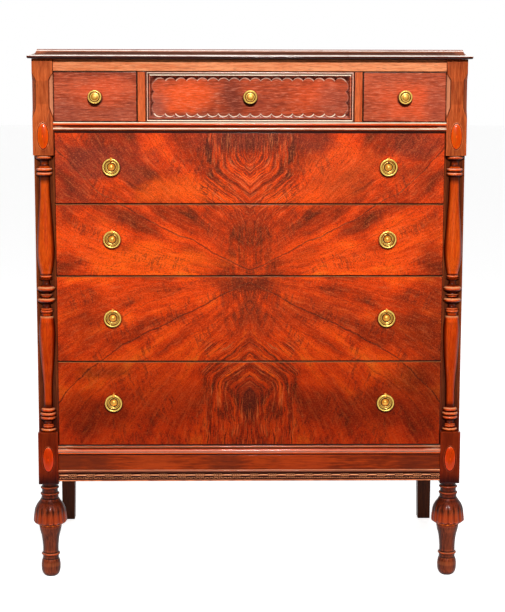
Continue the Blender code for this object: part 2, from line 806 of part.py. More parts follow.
def make_pull(name, anchor, x):
    """A ring pull: a domed plate cast with the eye above it, and a ring that swings in the eye."""
    centre = Vector((x, 0, PULL_UP))
    eye = centre + Vector((0, -EYE_REACH, RING_RADIUS))
    plate = place(f"{name}_plate", profile_mesh("plate", plate_lines()), BRASS, anchor, centre)
    plate.rotation_euler = (math.radians(90), 0, 0)
    screw(plate, PLATE_ROUND)
    tongue = block_mesh(
        "eye_tongue",
        (
            (x - EYE_TONGUE / 2, -EYE_THICKNESS - GAP, centre.z),
            (x + EYE_TONGUE / 2, -GAP, eye.z + EYE_TONGUE / 2),
        ),
    )
    depth = EYE_REACH - EYE_HOLE - EYE_WALL / 2 - 2 * GAP
    middle = (x, -2 * GAP - depth / 2, eye.z)
    shank = round_bar("eye_shank", EYE_SHANK, depth, "X")
    lug = round_bar("eye_lug", EYE_RADIUS, EYE_WIDTH, "Y")
    hole = round_bar("eye_hole", EYE_HOLE, 4 * EYE_WIDTH, "Y")
    join(plate, helper(f"{name}_eye_tongue", tongue, anchor))
    join(plate, helper(f"{name}_eye_shank", shank, anchor, middle))
    join(plate, helper(f"{name}_eye_lug", lug, anchor, eye))
    cut(plate, helper(f"{name}_eye_hole", hole, anchor, eye))
    ring = place(f"{name}_ring", ring_mesh(), BRASS, anchor, eye)
    ring.data.shade_smooth()


def make_small_drawers():
    """Three drawers side by side. The middle one has a scalloped field sunk into its front."""
    side_width = POST_INNER - DIVIDER_X - DIVIDER / 2
    side_x = POST_INNER - side_width / 2
    row = (
        ("left", -side_x, side_width),
        ("centre", 0, CENTRE_OPENING),
        ("right", side_x, side_width),
    )
    for side, x, width in row:
        anchor, front = make_drawer(
            f"small_drawer_{side}",
            MAHOGANY,
            x,
            width,
            WAIST_TOP,
            SMALL_TOP,
            WAIST_TOP,
            SMALL_TOP,
            SMALL_SIDE,
        )
        if side == "centre":
            outline = scalloped_outline(
                width / 2 - SLIDE_PLAY - FIELD_END_MARGIN,
                SMALL_DRAWER_HEIGHT / 2 - REVEAL / 2 - FIELD_EDGE_MARGIN,
            )
            field = outline_mesh("field", outline, 2 * FIELD_DEPTH)
            field.transform(Matrix.Rotation(math.radians(90), 4, "X"))
            # The many small arcs leave open edges with the exact solver.
            boolean(front, helper("scalloped_field", field, anchor), "DIFFERENCE", "MANIFOLD")
            # The knob stands on the sunk field.
            make_knob(f"knob_{side}", stand_on(anchor, FIELD_DEPTH))
        else:
            make_knob(f"knob_{side}", anchor)


def stand_on(anchor, depth):
    """A place that is sunk into the face behind an anchor."""
    sunk = bpy.data.objects.new(f"{anchor.name}_field", None)
    chest.objects.link(sunk)
    sunk.parent = anchor
    sunk.location = (0, depth, 0)
    return sunk


def make_long_drawers():
    """Four drawers as wide as the case. Number 1 is at the top."""
    low = LONG_BOTTOM
    count = len(LONG_DRAWER_HEIGHTS)
    for index, height in enumerate(LONG_DRAWER_HEIGHTS):
        high = low + height
        name = f"long_drawer_{count - index}"
        floor = low if index == 0 else low + FRAME_THICKNESS / 2
        ceiling = high if index == count - 1 else high - FRAME_THICKNESS / 2
        anchor, _ = make_drawer(
            name, VENEER, 0, 2 * POST_INNER, low, high, floor, ceiling, LONG_SIDE
        )
        for side, sign in (("left", -1), ("right", 1)):
            make_pull(f"pull_{count - index}_{side}", anchor, sign * PULL_X)
        low = high


clear_scene()
chest = new_collection("Chest of drawers")
cutters = new_collection("Cutters")
make_top()
for post_side, post_sign in (("left", -1), ("right", 1)):
    make_front_post(post_side, post_sign * POST_X)
    make_half_column(post_side, post_sign * POST_X)
    make_back_post(post_side, post_sign)
make_shell()
make_frames()
make_base()
make_small_drawers()
make_long_drawers()
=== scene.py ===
import math

import bmesh
import bpy
import numpy as np
from mathutils import Matrix, Vector

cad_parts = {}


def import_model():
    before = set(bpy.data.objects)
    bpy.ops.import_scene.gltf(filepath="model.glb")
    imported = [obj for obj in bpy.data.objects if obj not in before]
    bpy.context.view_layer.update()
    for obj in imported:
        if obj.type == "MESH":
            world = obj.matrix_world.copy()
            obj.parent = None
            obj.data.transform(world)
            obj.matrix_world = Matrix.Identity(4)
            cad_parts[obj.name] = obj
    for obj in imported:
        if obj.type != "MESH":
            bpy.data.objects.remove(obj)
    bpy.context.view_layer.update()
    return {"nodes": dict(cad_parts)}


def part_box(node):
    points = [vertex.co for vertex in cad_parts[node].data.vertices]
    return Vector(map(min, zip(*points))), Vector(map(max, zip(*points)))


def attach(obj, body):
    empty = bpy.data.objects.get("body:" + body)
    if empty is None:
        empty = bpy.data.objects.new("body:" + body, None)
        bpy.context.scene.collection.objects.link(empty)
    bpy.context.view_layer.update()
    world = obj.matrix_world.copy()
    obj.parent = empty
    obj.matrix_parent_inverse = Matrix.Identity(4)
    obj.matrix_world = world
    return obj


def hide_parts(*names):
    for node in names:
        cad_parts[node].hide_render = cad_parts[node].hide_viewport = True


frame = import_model()
bpy.ops.object.select_all(action="DESELECT")


# The studio. A sheet of pale paper runs back to a white backdrop, and the room in front is dim.
# One soft lamp stands in front and above, a second one overhead for the mouldings, and weak ones
# at the sides and behind. The camera stands 4 m in front at the top's level, looking a bit down.
LENS = 95.34
CAMERA_PLACE = (-0.0605, -4.0034, 1.2078)
CAMERA_PITCH = -0.1465
CAMERA_YAW = -0.0178
CAMERA_ROLL = 0.0019
LAMPS = (
    # name, place, width, height, watts
    ("front_lamp", (0.1, -3.9, 2.6), 0.35, 0.25, 152),
    ("overhead_lamp", (0.0, -1.1, 3.3), 1.8, 1.0, 16),
    ("left_lamp", (-3.2, -1.4, 2.0), 0.8, 1.6, 9),
    ("right_lamp", (3.2, -1.4, 2.0), 0.8, 1.6, 9),
    ("back_lamp", (0.6, 3.6, 2.6), 2.0, 1.4, 40),
)
LAMP_TARGET = Vector((0, 0, 0.75))
SKY_LIGHT = 0.06
FLOOR_GLOW = 0.87
FLOOR_FRONT = -1.0
FLOOR_REACH = 30
BACKDROP = (-0.10, 0.25)

bpy.ops.object.camera_add()
camera = bpy.context.object
camera.name = "camera"
camera.data.lens = LENS
camera.matrix_world = (
    Matrix.Translation(CAMERA_PLACE)
    @ Matrix.Rotation(CAMERA_YAW, 4, "Z")
    @ Matrix.Rotation(math.pi / 2 + CAMERA_PITCH, 4, "X")
    @ Matrix.Rotation(CAMERA_ROLL, 4, "Z")
)
bpy.context.scene.camera = camera
bpy.context.scene.view_settings.view_transform = "Standard"

for name, place, width, height, watts in LAMPS:
    bpy.ops.object.light_add(type="AREA", location=place)
    lamp = bpy.context.object
    lamp.name = name
    lamp.rotation_euler = (LAMP_TARGET - lamp.location).to_track_quat("-Z", "Y").to_euler()
    lamp.data.shape = "RECTANGLE"
    lamp.data.size = width
    lamp.data.size_y = height
    lamp.data.energy = watts


def node(tree, kind, *inputs, output=0, **settings):
    """Adds a node with its first inputs linked or set, and gives one of its outputs."""
    made = tree.nodes.new(kind)
    for setting, value in settings.items():
        setattr(made, setting, value)
    for socket, value in zip(made.inputs, inputs):
        if isinstance(value, bpy.types.NodeSocket):
            tree.links.new(value, socket)
        elif value is not None:
            socket.default_value = value
    return made.outputs[output]


def maths(tree, operation, *inputs, **settings):
    return node(tree, "ShaderNodeMath", *inputs, operation=operation, **settings)


def seen_rays(tree, mirrored_share=1.0):
    """Picks out the rays that see a thing: the camera's, and a share of the mirrored ones."""
    rays = node(tree, "ShaderNodeLightPath").node.outputs
    mirrored = maths(tree, "ADD", rays["Is Glossy Ray"], rays["Is Transmission Ray"])
    mirrored = maths(tree, "MULTIPLY", mirrored, mirrored_share)
    return maths(tree, "ADD", rays["Is Camera Ray"], mirrored, use_clamp=True)


sky = bpy.data.worlds.new("sky")
bpy.context.scene.world = sky
sky.use_nodes = True
tree = sky.node_tree
behind = node(tree, "ShaderNodeSeparateXYZ", node(tree, "ShaderNodeTexCoord"), output=1)
behind = node(tree, "ShaderNodeMapRange", behind, *BACKDROP, 0, 1)
glow = node(tree, "ShaderNodeMapRange", seen_rays(tree, behind), 0, 1, SKY_LIGHT, 1)
tree.links.new(glow, tree.nodes["Background"].inputs["Strength"])
tree.nodes["Background"].inputs["Color"].default_value = (1, 1, 1, 1)


def new_material(name):
    """A material, with its node tree and its shader."""
    material = bpy.data.materials.new(name)
    material.use_nodes = True
    return material, material.node_tree, material.node_tree.nodes["Principled BSDF"]


def only(piece):
    """Makes a piece the only one that the operators act on."""
    bpy.ops.object.select_all(action="DESELECT")
    piece.select_set(True)
    bpy.context.view_layer.objects.active = piece


def settle(piece):
    """Puts a piece's place, turn and size into its mesh."""
    only(piece)
    bpy.ops.object.transform_apply(location=True, rotation=True, scale=True)


def name_it(name):
    """Names the piece that an operator has just made, and settles it."""
    piece = bpy.context.object
    piece.name = name
    piece.data.name = name
    settle(piece)
    return piece


bpy.ops.mesh.primitive_plane_add(size=1)
bpy.context.object.scale = (2 * FLOOR_REACH, FLOOR_REACH - FLOOR_FRONT, 1)
bpy.context.object.location = (0, (FLOOR_REACH + FLOOR_FRONT) / 2, 0)
floor = name_it("floor")
floor_paper, tree, shader = new_material("floor_paper")
shader.inputs["Base Color"].default_value = (0.82, 0.82, 0.82, 1)
shader.inputs["Roughness"].default_value = 0.9
shader.inputs["Emission Color"].default_value = (1, 1, 1, 1)
glow = maths(tree, "MULTIPLY", seen_rays(tree), FLOOR_GLOW)
tree.links.new(glow, shader.inputs["Emission Strength"])
floor.data.materials.append(floor_paper)


# The front posts. Each is one mahogany billet: a square block at the top and at the foot, with a
# flat stile half as deep between them. The upper block's two front arrises are chamfered by hand,
# with a straight stop above and a lamb's tongue below. The grain runs up the post.
POST = 0.047
BLOCK_FOOT = 0.2289
GAP = 0.0003
CHAMFER = 0.0085
CHAMFER_FROM_TOP = 0.0330
CHAMFER_LENGTH = 0.1060
CHAMFER_STOP = 0.0150
TONGUE = 0.0330
TONGUE_STEPS = 12
POST_EASE = 0.0007
EDGE_LINE = 0.003
FACE_LINE = 0.0168
FLAT_LINE = 0.004
RIM_WIDTH = 0.0016
END_DEPTH = 0.00005
PROFILE_STEP = 0.0005
PROFILE_STRETCH = 17
SWELL_REACH = 0.0016
MERGED = 0.00002


def srgb(red, green, blue):
    """A colour as a paint chart gives it, from 0 to 255, in the renderer's linear values."""
    shares = [value / 255 for value in (red, green, blue)]
    return (*(s / 12.92 if s < 0.04045 else ((s + 0.055) / 1.055) ** 2.4 for s in shares), 1)


def vectors(tree, operation, *inputs, output=0):
    return node(tree, "ShaderNodeVectorMath", *inputs, operation=operation, output=output)


def split(tree, vector):
    """The three parts of a vector, by their names."""
    return node(tree, "ShaderNodeSeparateXYZ", vector).node.outputs


def place_on(tree):
    """The place on the object, by which every pattern is laid out."""
    return node(tree, "ShaderNodeTexCoord", output=3)


def recorded(tree, name):
    """A number that the piece keeps for each of its points."""
    return node(tree, "ShaderNodeAttribute", attribute_name=name, output=2)


def span(tree, value, low, high, first=0.0, last=1.0):
    """Turns the stretch from low to high of a value into first to last, with soft ends."""
    return node(
        tree, "ShaderNodeMapRange", value, low, high, first, last, interpolation_type="SMOOTHSTEP"
    )


def blend(tree, share, first, second, kind="MIX"):
    """Mixes two colours."""
    return node(
        tree,
        "ShaderNodeMix",
        *(share, None, None, None, None, None, first, second),
        output=2,
        data_type="RGBA",
        blend_type=kind,
    )


def stretched(tree, vector, *scales):
    return vectors(tree, "MULTIPLY", vector, scales)


def noise(tree, vector, detail=2.0, roughness=0.5):
    """Soft noise whose size is set by how its vector is stretched."""
    return node(tree, "ShaderNodeTexNoise", vector, None, 1.0, detail, roughness)


def new_group(name, inputs, outputs):
    """A node group with named sockets. Each input is its name, kind and value."""
    group = bpy.data.node_groups.new(name, "ShaderNodeTree")
    for label, kind, value in inputs:
        socket = group.interface.new_socket(label, in_out="INPUT", socket_type=kind)
        if value is not None:
            socket.default_value = value
    for label in outputs:
        group.interface.new_socket(label, in_out="OUTPUT", socket_type="NodeSocketFloat")
    start = group.nodes.new("NodeGroupInput")
    end = group.nodes.new("NodeGroupOutput")
    return group, start.outputs, end.inputs


def use_group(tree, group, **inputs):
    """Places a node group in a material and gives its outputs by name."""
    placed = tree.nodes.new("ShaderNodeGroup")
    placed.node_tree = group
    for label, value in inputs.items():
        socket = placed.inputs[label]
        if isinstance(value, bpy.types.NodeSocket):
            tree.links.new(value, socket)
        else:
            socket.default_value = value
    return placed.outputs


# Grain that runs along the vector's X: broad bands, fine lines and open pores.
grain_group, given, made = new_group(
    "straight_grain",
    (
        ("Vector", "NodeSocketVector", None),
        ("Fineness", "NodeSocketFloat", 1.0),
        ("Wander", "NodeSocketFloat", 0.010),
    ),
    ("Bands", "Lines", "Pores"),
)
tree = grain_group
drift = noise(tree, stretched(tree, given["Vector"], 2.2, 5.0, 5.0), 1.0)
drift = maths(tree, "MULTIPLY", maths(tree, "SUBTRACT", drift, 0.5), given["Wander"])
sideways = node(tree, "ShaderNodeCombineXYZ", 0.0, drift, drift)
path = vectors(tree, "ADD", given["Vector"], sideways)
path = vectors(tree, "SCALE", path, None, None, given["Fineness"])
tree.links.new(noise(tree, stretched(tree, path, 1.6, 26.0, 26.0), 3.0, 0.55), made["Bands"])
tree.links.new(noise(tree, stretched(tree, path, 22.0, 300.0, 300.0), 3.0, 0.65), made["Lines"])
pores = noise(tree, stretched(tree, path, 70.0, 1500.0, 1500.0), 0.0)
tree.links.new(span(tree, pores, 0.60, 0.72), made["Pores"])

# Wear, from the worn and sheltered places that each piece's own attribute holds. It also gives the
# masks for pale dust with a painted highlight on tops, and for painted shade under things.
wear_and_painted_light_group, given, made = new_group(
    "handled_edges_and_painted_light",
    (
        ("Vector", "NodeSocketVector", None),
        ("Relief", "NodeSocketFloat", 0.5),
        ("Rub", "NodeSocketFloat", 0.5),
        ("Grime", "NodeSocketFloat", 0.5),
        ("Upward", "NodeSocketFloat", 0.0),
        ("Swell", "NodeSocketFloat", 0.0),
    ),
    ("Rubbed", "Sheltered", "Chipped", "DustAndSheen", "ShadeUnder"),
)
tree = wear_and_painted_light_group
patchy = noise(tree, stretched(tree, given["Vector"], 45.0, 45.0, 45.0), 3.0, 0.6)
relief = maths(tree, "POWER", given["Relief"], 1 / 2.2)
relief = maths(tree, "MULTIPLY_ADD", given["Swell"], 0.26, relief)
rubbed = span(tree, relief, 0.54, 0.74)
rubbed = maths(tree, "MULTIPLY", rubbed, span(tree, patchy, 0.35, 0.62))
tree.links.new(maths(tree, "MULTIPLY", rubbed, given["Rub"]), made["Rubbed"])
sheltered = span(tree, relief, 0.42, 0.14)
tree.links.new(maths(tree, "MULTIPLY", sheltered, given["Grime"]), made["Sheltered"])
flecks = noise(tree, stretched(tree, given["Vector"], 240.0, 240.0, 160.0), 2.0, 0.6)
chipped = maths(tree, "MULTIPLY", span(tree, flecks, 0.66, 0.70), span(tree, patchy, 0.52, 0.66))
chipped = maths(tree, "MULTIPLY", chipped, span(tree, relief, 0.53, 0.70))
tree.links.new(chipped, made["Chipped"])
# Pale dust with a painted highlight on faces that turn up.
dust_and_sheen_share = span(tree, patchy, 0.20, 0.50, 0.6)
dust_and_sheen_share = maths(tree, "MULTIPLY", dust_and_sheen_share, span(tree, relief, 0.36, 0.50))
dust_and_sheen_share = maths(tree, "MULTIPLY", dust_and_sheen_share, span(tree, given["Upward"], 0.25, 0.85))
tree.links.new(dust_and_sheen_share, made["DustAndSheen"])
# Painted shade on faces that turn down.
tree.links.new(span(tree, given["Upward"], -0.25, -0.80), made["ShadeUnder"])


def wood(
    name,
    dark,
    light,
    along="X",
    rubbed=(255, 150, 80),
    shelter=(28, 12, 8),
    rub=0.35,
    grime=0.9,
    fineness=1.0,
    gloss=0.32,
    coat=0.45,
    contrast=1.0,
    coat_ior=1.5,
    dust=0.0,
    dust_and_sheen_colour=(255, 222, 186),
    sides=0.0,
    rim=0.0,
):
    """A lacquered wood with its grain along one axis, worn at its arrises, dark in its hollows. Its
    sides, rim and dust add painted shade and painted highlights.
    """
    material, tree, shader = new_material(name)
    place = place_on(tree)
    turned = {"X": (0, 0, 0), "Y": (0, 0, math.pi / 2), "Z": (0, math.pi / 2, 0)}[along]
    grain = node(tree, "ShaderNodeMapping", place, None, turned)
    figure = use_group(tree, grain_group, Vector=grain, Fineness=fineness)
    wear = use_group(
        tree,
        wear_and_painted_light_group,
        Vector=place,
        Relief=recorded(tree, "relief"),
        Rub=rub,
        Grime=grime,
        Upward=recorded(tree, "upward"),
        Swell=recorded(tree, "swell"),
    )
    tone = maths(tree, "MULTIPLY_ADD", figure["Lines"], 0.55, 0.0)
    tone = maths(tree, "MULTIPLY_ADD", figure["Bands"], 0.45, tone)
    spread = 0.14 / contrast
    tone = span(tree, tone, 0.5 - spread, 0.5 + spread)
    colour = blend(tree, tone, srgb(*dark), srgb(*light))
    pores = maths(tree, "MULTIPLY", figure["Pores"], 0.35)
    colour = blend(tree, pores, colour, srgb(*shelter))
    colour = blend(tree, wear["Sheltered"], colour, srgb(*shelter))
    colour = blend(tree, wear["Rubbed"], colour, srgb(*rubbed))
    # Painted shade: faces that turn sideways are darkened, as less light falls on them.
    if sides:
        share = maths(tree, "MULTIPLY", span(tree, recorded(tree, "aside"), 0.55, 0.92), sides)
        colour = blend(tree, share, colour, srgb(110, 56, 34), "MULTIPLY")
    # Painted shade along the outer edges, where the gaps between parts lie in shadow.
    if rim:
        share = maths(tree, "MULTIPLY", span(tree, recorded(tree, "rim"), 0.55, 0.95), rim)
        colour = blend(tree, share, colour, srgb(50, 18, 8))
    # Painted shade on faces that turn down, and pale dust with a painted highlight on faces that
    # turn up.
    if dust:
        share = maths(tree, "MULTIPLY", wear["ShadeUnder"], min(dust + 0.4, 1.0))
        colour = blend(tree, share, colour, srgb(84, 40, 30), "MULTIPLY")
        share = maths(tree, "MULTIPLY", wear["DustAndSheen"], dust)
        colour = blend(tree, share, colour, srgb(*dust_and_sheen_colour))
    chips = maths(tree, "MULTIPLY", wear["Chipped"], 0.8)
    colour = blend(tree, chips, colour, srgb(236, 188, 140))
    tree.links.new(colour, shader.inputs["Base Color"])
    rough = maths(tree, "MULTIPLY_ADD", figure["Lines"], 0.12, gloss - 0.06)
    rough = maths(tree, "MULTIPLY_ADD", wear["Chipped"], 0.3, rough)
    tree.links.new(rough, shader.inputs["Roughness"])
    height = maths(tree, "MULTIPLY_ADD", figure["Pores"], -0.6, figure["Lines"])
    height = maths(tree, "MULTIPLY_ADD", wear["Chipped"], -2.0, height)
    bump = node(tree, "ShaderNodeBump", 0.25, 0.0003, None, height)
    tree.links.new(bump, shader.inputs["Normal"])
    polish = maths(tree, "MULTIPLY_ADD", wear["Sheltered"], -0.85 * coat, coat)
    tree.links.new(polish, shader.inputs["Coat Weight"])
    shader.inputs["Coat Roughness"].default_value = 0.12
    shader.inputs["Coat IOR"].default_value = coat_ior
    shader.inputs["Specular IOR Level"].default_value = 0.1
    return material


def refinish(material, change):
    """Reworks the colour of a finish by a function of its tree, the place and the colour so far."""
    tree = material.node_tree
    base = tree.nodes["Principled BSDF"].inputs["Base Color"]
    tree.links.new(change(tree, place_on(tree), base.links[0].from_socket), base)


def tint(material, share_of, colour, kind="MIX"):
    """Turns a finish towards a colour by a share, which is worked out from the place."""

    def change(tree, place, before):
        return blend(tree, share_of(tree, place), before, srgb(*colour), kind)

    refinish(material, change)


def stain_and_shade_along(material, axis, start, end, colour, kind="MULTIPLY"):
    """Turns a finish towards a colour along an axis, from where that starts to where it is full. It
    lays real stains, and also painted shade.
    """

    def share_of(tree, place):
        return span(tree, split(tree, place)[axis], start, end)

    tint(material, share_of, colour, kind)


def stripe(material, axis, middle, half_width, colour, amount=1.0):
    """Lays a soft stripe of a colour across an axis, made patchy by noise."""

    def share_of(tree, place):
        gap = maths(tree, "ABSOLUTE", maths(tree, "SUBTRACT", split(tree, place)[axis], middle))
        patchy = noise(tree, stretched(tree, place, 34.0, 34.0, 34.0), 3.0, 0.6)
        patchy = span(tree, patchy, 0.30, 0.55, 0.70 * amount, amount)
        return maths(tree, "MULTIPLY", span(tree, gap, half_width, half_width * 0.3), patchy)

    tint(material, share_of, colour)


def block(name, low, high):
    """A square block between two corners, to be shaped further."""
    low, high = Vector(low), Vector(high)
    bpy.ops.mesh.primitive_cube_add(size=1, location=(low + high) / 2, scale=high - low)
    return name_it(name)


def work_on(piece):
    """Opens a piece for work on its faces, with all of them selected."""
    only(piece)
    bpy.ops.object.mode_set(mode="EDIT")
    bpy.ops.mesh.select_all(action="SELECT")


def merge(piece):
    """Closes the seams of a shape and turns its faces outwards."""
    work_on(piece)
    bpy.ops.mesh.remove_doubles(threshold=MERGED)
    bpy.ops.mesh.normals_make_consistent(inside=False)
    bpy.ops.object.mode_set(mode="OBJECT")


def bring_in(name, data):
    """Puts a curve or a mesh on the bench as a piece."""
    piece = bpy.data.objects.new(name, data)
    bpy.context.collection.objects.link(piece)
    only(piece)
    return piece


def draw(name, curve, points, closed=False):
    """Draws a curve through points, and makes a mesh of it."""
    spline = curve.splines.new("POLY")
    spline.points.add(len(points) - 1)
    for point, place in zip(spline.points, points):
        point.co = (*place, 1)
    spline.use_cyclic_u = closed
    bring_in(name, curve)
    bpy.ops.object.convert(target="MESH")
    return bpy.context.object


def flat_shape(name, points, thickness):
    """A board of the outline's shape, in X and Y, with its thickness along Z about the middle."""
    curve = bpy.data.curves.new(name, "CURVE")
    curve.dimensions = "2D"
    curve.fill_mode = "BOTH"
    curve.extrude = thickness / 2
    piece = draw(name, curve, [(x, y, 0) for x, y in points], closed=True)
    merge(piece)
    return piece


def carve(piece, *cutters):
    """Cuts shapes out of a piece and throws them away."""
    for cutter in cutters:
        only(piece)
        modifier = piece.modifiers.new("Cut", "BOOLEAN")
        modifier.object = cutter
        modifier.operation = "DIFFERENCE"
        bpy.ops.object.modifier_apply(modifier="Cut")
        bpy.data.objects.remove(cutter, do_unlink=True)


def ease(piece, width, segments=3):
    """Rounds the arrises of a piece."""
    only(piece)
    modifier = piece.modifiers.new("Ease", "BEVEL")
    modifier.width = width
    modifier.segments = segments
    modifier.limit_method = "ANGLE"
    modifier.angle_limit = math.radians(25)
    bpy.ops.object.modifier_apply(modifier="Ease")


def margin(piece, width, least_area=0.0008):
    """Draws a line round each large face that is square to an axis, to keep wear near its edges."""
    only(piece)
    bpy.ops.object.mode_set(mode="EDIT")
    bpy.ops.mesh.select_mode(type="FACE")
    bpy.ops.mesh.select_all(action="DESELECT")
    shape = bmesh.from_edit_mesh(piece.data)
    for face in shape.faces:
        square = max(map(abs, face.normal)) > 0.999
        face.select_set(square and face.calc_area() > least_area)
    bmesh.update_edit_mesh(piece.data)
    bpy.ops.mesh.inset(thickness=width, use_individual=True, use_even_offset=False)
    bpy.ops.object.mode_set(mode="OBJECT")


def rule(piece, axis, *places):
    """Draws lines round a piece, square to an axis."""
    work_on(piece)
    square = [1 if name == axis else 0 for name in "XYZ"]
    for place in places:
        bpy.ops.mesh.select_all(action="SELECT")
        bpy.ops.mesh.bisect(plane_co=[place * side for side in square], plane_no=square)
    bpy.ops.object.mode_set(mode="OBJECT")


def record(piece, name, values):
    """Keeps a number for each of a piece's points, for its finish to read."""
    piece.data.attributes.new(name, "FLOAT", "POINT").data.foreach_set("value", list(values))


def dress(piece, material, body, slot, *nodes, lines=None, sunk=0):
    """Finishes a piece: smooth shading, the records that wear and painted light go by, its material
    and body.
    """
    only(piece)
    bpy.ops.object.shade_smooth_by_angle(angle=math.radians(35))
    bpy.ops.geometry.color_attribute_add(
        name="relief", domain="POINT", data_type="FLOAT_COLOR", color=(1, 1, 1, 1)
    )
    bpy.ops.paint.vertex_color_dirt(
        blur_strength=0.5,
        blur_iterations=1,
        clean_angle=math.radians(112),
        dirt_angle=math.radians(68),
        dirt_only=False,
        normalize=False,
    )
    points = np.array([vertex.co for vertex in piece.data.vertices])
    normals = np.array([vertex.normal for vertex in piece.data.vertices])
    record(piece, "upward", normals[:, 2])
    record(piece, "aside", abs(normals[:, 0]))
    to_edge = np.minimum(points - points.min(axis=0), points.max(axis=0) - points)
    record(piece, "rim", np.minimum(to_edge[:, 0], to_edge[:, 2]) < RIM_WIDTH)
    record(piece, "end", to_edge[:, 0] < END_DEPTH)
    low, high = points[:, 2].min(), points[:, 2].max()
    record(piece, "rise", (points[:, 2] - low) / (high - low))
    if lines:
        # How far each height of the turned profile stands out from the stretch about it.
        heights, radii = np.array(sorted((z, radius) for radius, z in lines)).T
        places = np.arange(heights[0], heights[-1], PROFILE_STEP)
        line = np.interp(places, heights, radii)
        around = np.pad(line, PROFILE_STRETCH // 2, mode="edge")
        stretch = np.ones(PROFILE_STRETCH) / PROFILE_STRETCH
        around = np.convolve(around, stretch, mode="valid")
        swell = np.clip((line - around) / SWELL_REACH, -1, 1)
        swell = np.interp(points[:, 2], places, swell)
        record(piece, "swell", np.clip(swell - sunk, -1, 1))
    piece.data.materials.clear()
    piece.data.materials.append(material)
    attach(piece, body)
    if nodes:
        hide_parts(*nodes)


def middle_of(node_name):
    """The middle of a CAD node's box."""
    low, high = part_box(node_name)
    return (low + high) / 2


# The posts' upward faces carry dust with a painted highlight, and their undersides painted shade.
post_wood = wood(
    "post_mahogany",
    (158, 58, 20),
    (216, 104, 48),
    along="Z",
    rubbed=(255, 150, 84),
    rub=0.85,
    coat=0.15,
    dust=0.3,
)
stain_and_shade_along(post_wood, "Z", 0.46, 0.34, (172, 120, 90))
stain_and_shade_along(post_wood, "Z", BLOCK_FOOT + 0.035, BLOCK_FOOT, (110, 84, 74))
column_low, column_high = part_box("half_column_left")
column_axis_y = column_high.y + GAP
post_front = column_axis_y - POST / 2
post_back = column_axis_y + POST / 2
post_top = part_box("front_post_left")[1].z
upper_block_foot = column_high.z + GAP
lower_block_head = column_low.z - GAP
stain_and_shade_along(post_wood, "Y", post_front + 0.030, post_front + 0.044, (150, 104, 88))

chamfer_top = post_top + GAP - CHAMFER_FROM_TOP
chamfer_low = chamfer_top - CHAMFER_LENGTH
post_axis = abs(middle_of("half_column_left").x)


def on_chamfer(tree, place):
    """The chamfer's width at a height, and how far past its edge and inwards the place is."""
    at = split(tree, place)
    inwards = maths(tree, "SUBTRACT", post_axis, maths(tree, "ABSOLUTE", at["X"]))
    ends = (chamfer_top, chamfer_top - CHAMFER_STOP, 0, CHAMFER)
    stop = node(tree, "ShaderNodeMapRange", at["Z"], *ends)
    tongue = span(tree, at["Z"], chamfer_low, chamfer_low + TONGUE)
    width = maths(tree, "MULTIPLY", stop, tongue)
    reach = maths(tree, "SUBTRACT", maths(tree, "ABSOLUTE", inwards), POST / 2)
    return width, maths(tree, "ADD", reach, width), inwards


def chamfer_line(tree, place):
    """The grimy line along each chamfer's front arris."""
    width, past, _ = on_chamfer(tree, place)
    line = span(tree, maths(tree, "ABSOLUTE", past), 0.0013, 0.0004)
    return maths(tree, "MULTIPLY", line, span(tree, width, 0.0002, 0.0012, 0, 0.8))


def inner_chamfer_highlight(tree, place):
    """The chamfers beside the drawers, painted paler as a highlight where the light falls on them.
    """
    _, past, inwards = on_chamfer(tree, place)
    face = maths(tree, "MULTIPLY", span(tree, past, 0.0012, 0.0022), span(tree, inwards, 0, 0.001))
    return maths(tree, "MULTIPLY", face, 0.6)


# A painted highlight on the inner chamfers.
tint(post_wood, inner_chamfer_highlight, (255, 168, 124))
tint(post_wood, chamfer_line, (60, 20, 8))
for side in ("left", "right"):
    post_x = middle_of(f"half_column_{side}").x
    post = block(
        f"post_{side}",
        (post_x - POST / 2, post_front, BLOCK_FOOT),
        (post_x + POST / 2, post_back, post_top),
    )
    recess = block(
        "recess",
        (post_x - POST, post_front - POST, lower_block_head),
        (post_x + POST, column_axis_y, upper_block_foot),
    )
    carve(post, recess)
    outline = [(-CHAMFER, chamfer_low), (0, chamfer_low)]
    for step in range(1, TONGUE_STEPS + 1):
        share = step / TONGUE_STEPS
        depth = CHAMFER * (share - math.sin(2 * math.pi * share) / (2 * math.pi)) ** 0.8
        outline.append((depth, chamfer_low + share * TONGUE))
    outline += [
        (CHAMFER, chamfer_top - CHAMFER_STOP),
        (0, chamfer_top),
        (-CHAMFER, chamfer_top),
    ]
    outline = [(depth * math.sqrt(0.5), height) for depth, height in outline]
    for corner in (-1, 1):
        cutter = flat_shape("chamfer", outline, 3 * CHAMFER)
        cutter.rotation_euler = (math.pi / 2, 0, math.radians(90 + corner * 45))
        cutter.location = (post_x + corner * POST / 2, post_front, 0)
        settle(cutter)
        carve(post, cutter)
    ease(post, POST_EASE)
    rule(post, "X", post_x - FACE_LINE, post_x + FACE_LINE)
    rule(post, "Y", post_back - EDGE_LINE)
    rule(post, "Z", chamfer_low + TONGUE + FLAT_LINE, chamfer_top - CHAMFER_STOP - FLAT_LINE)
    for foot, head in ((BLOCK_FOOT, lower_block_head), (upper_block_foot, post_top)):
        rule(post, "Z", foot + EDGE_LINE, head - EDGE_LINE)
    dress(post, post_wood, "case", "mahogany", f"front_post_{side}")


# The turned legs, one with each post's billet. Under its rings each swells into a bulb carved with
# sixteen petals, then runs down a slim shank to an ankle ring and a ball. The wood is darker here.
# Each turned member is its kind, its height and its radius, from the top down.
LEG_HEAD = (
    ("neck", 0.0079, 0.0178),
    ("bead", 0.0075, 0.0219),
    ("neck", 0.0075, 0.0188),
    ("bead", 0.0075, 0.0225),
    ("neck", 0.0085, 0.0202),
)
ANKLE = (("bead", 0.0085, 0.0220), ("neck", 0.0075, 0.0189))
BULB_HEIGHT = 0.0640
BALL_HEIGHT = 0.0430
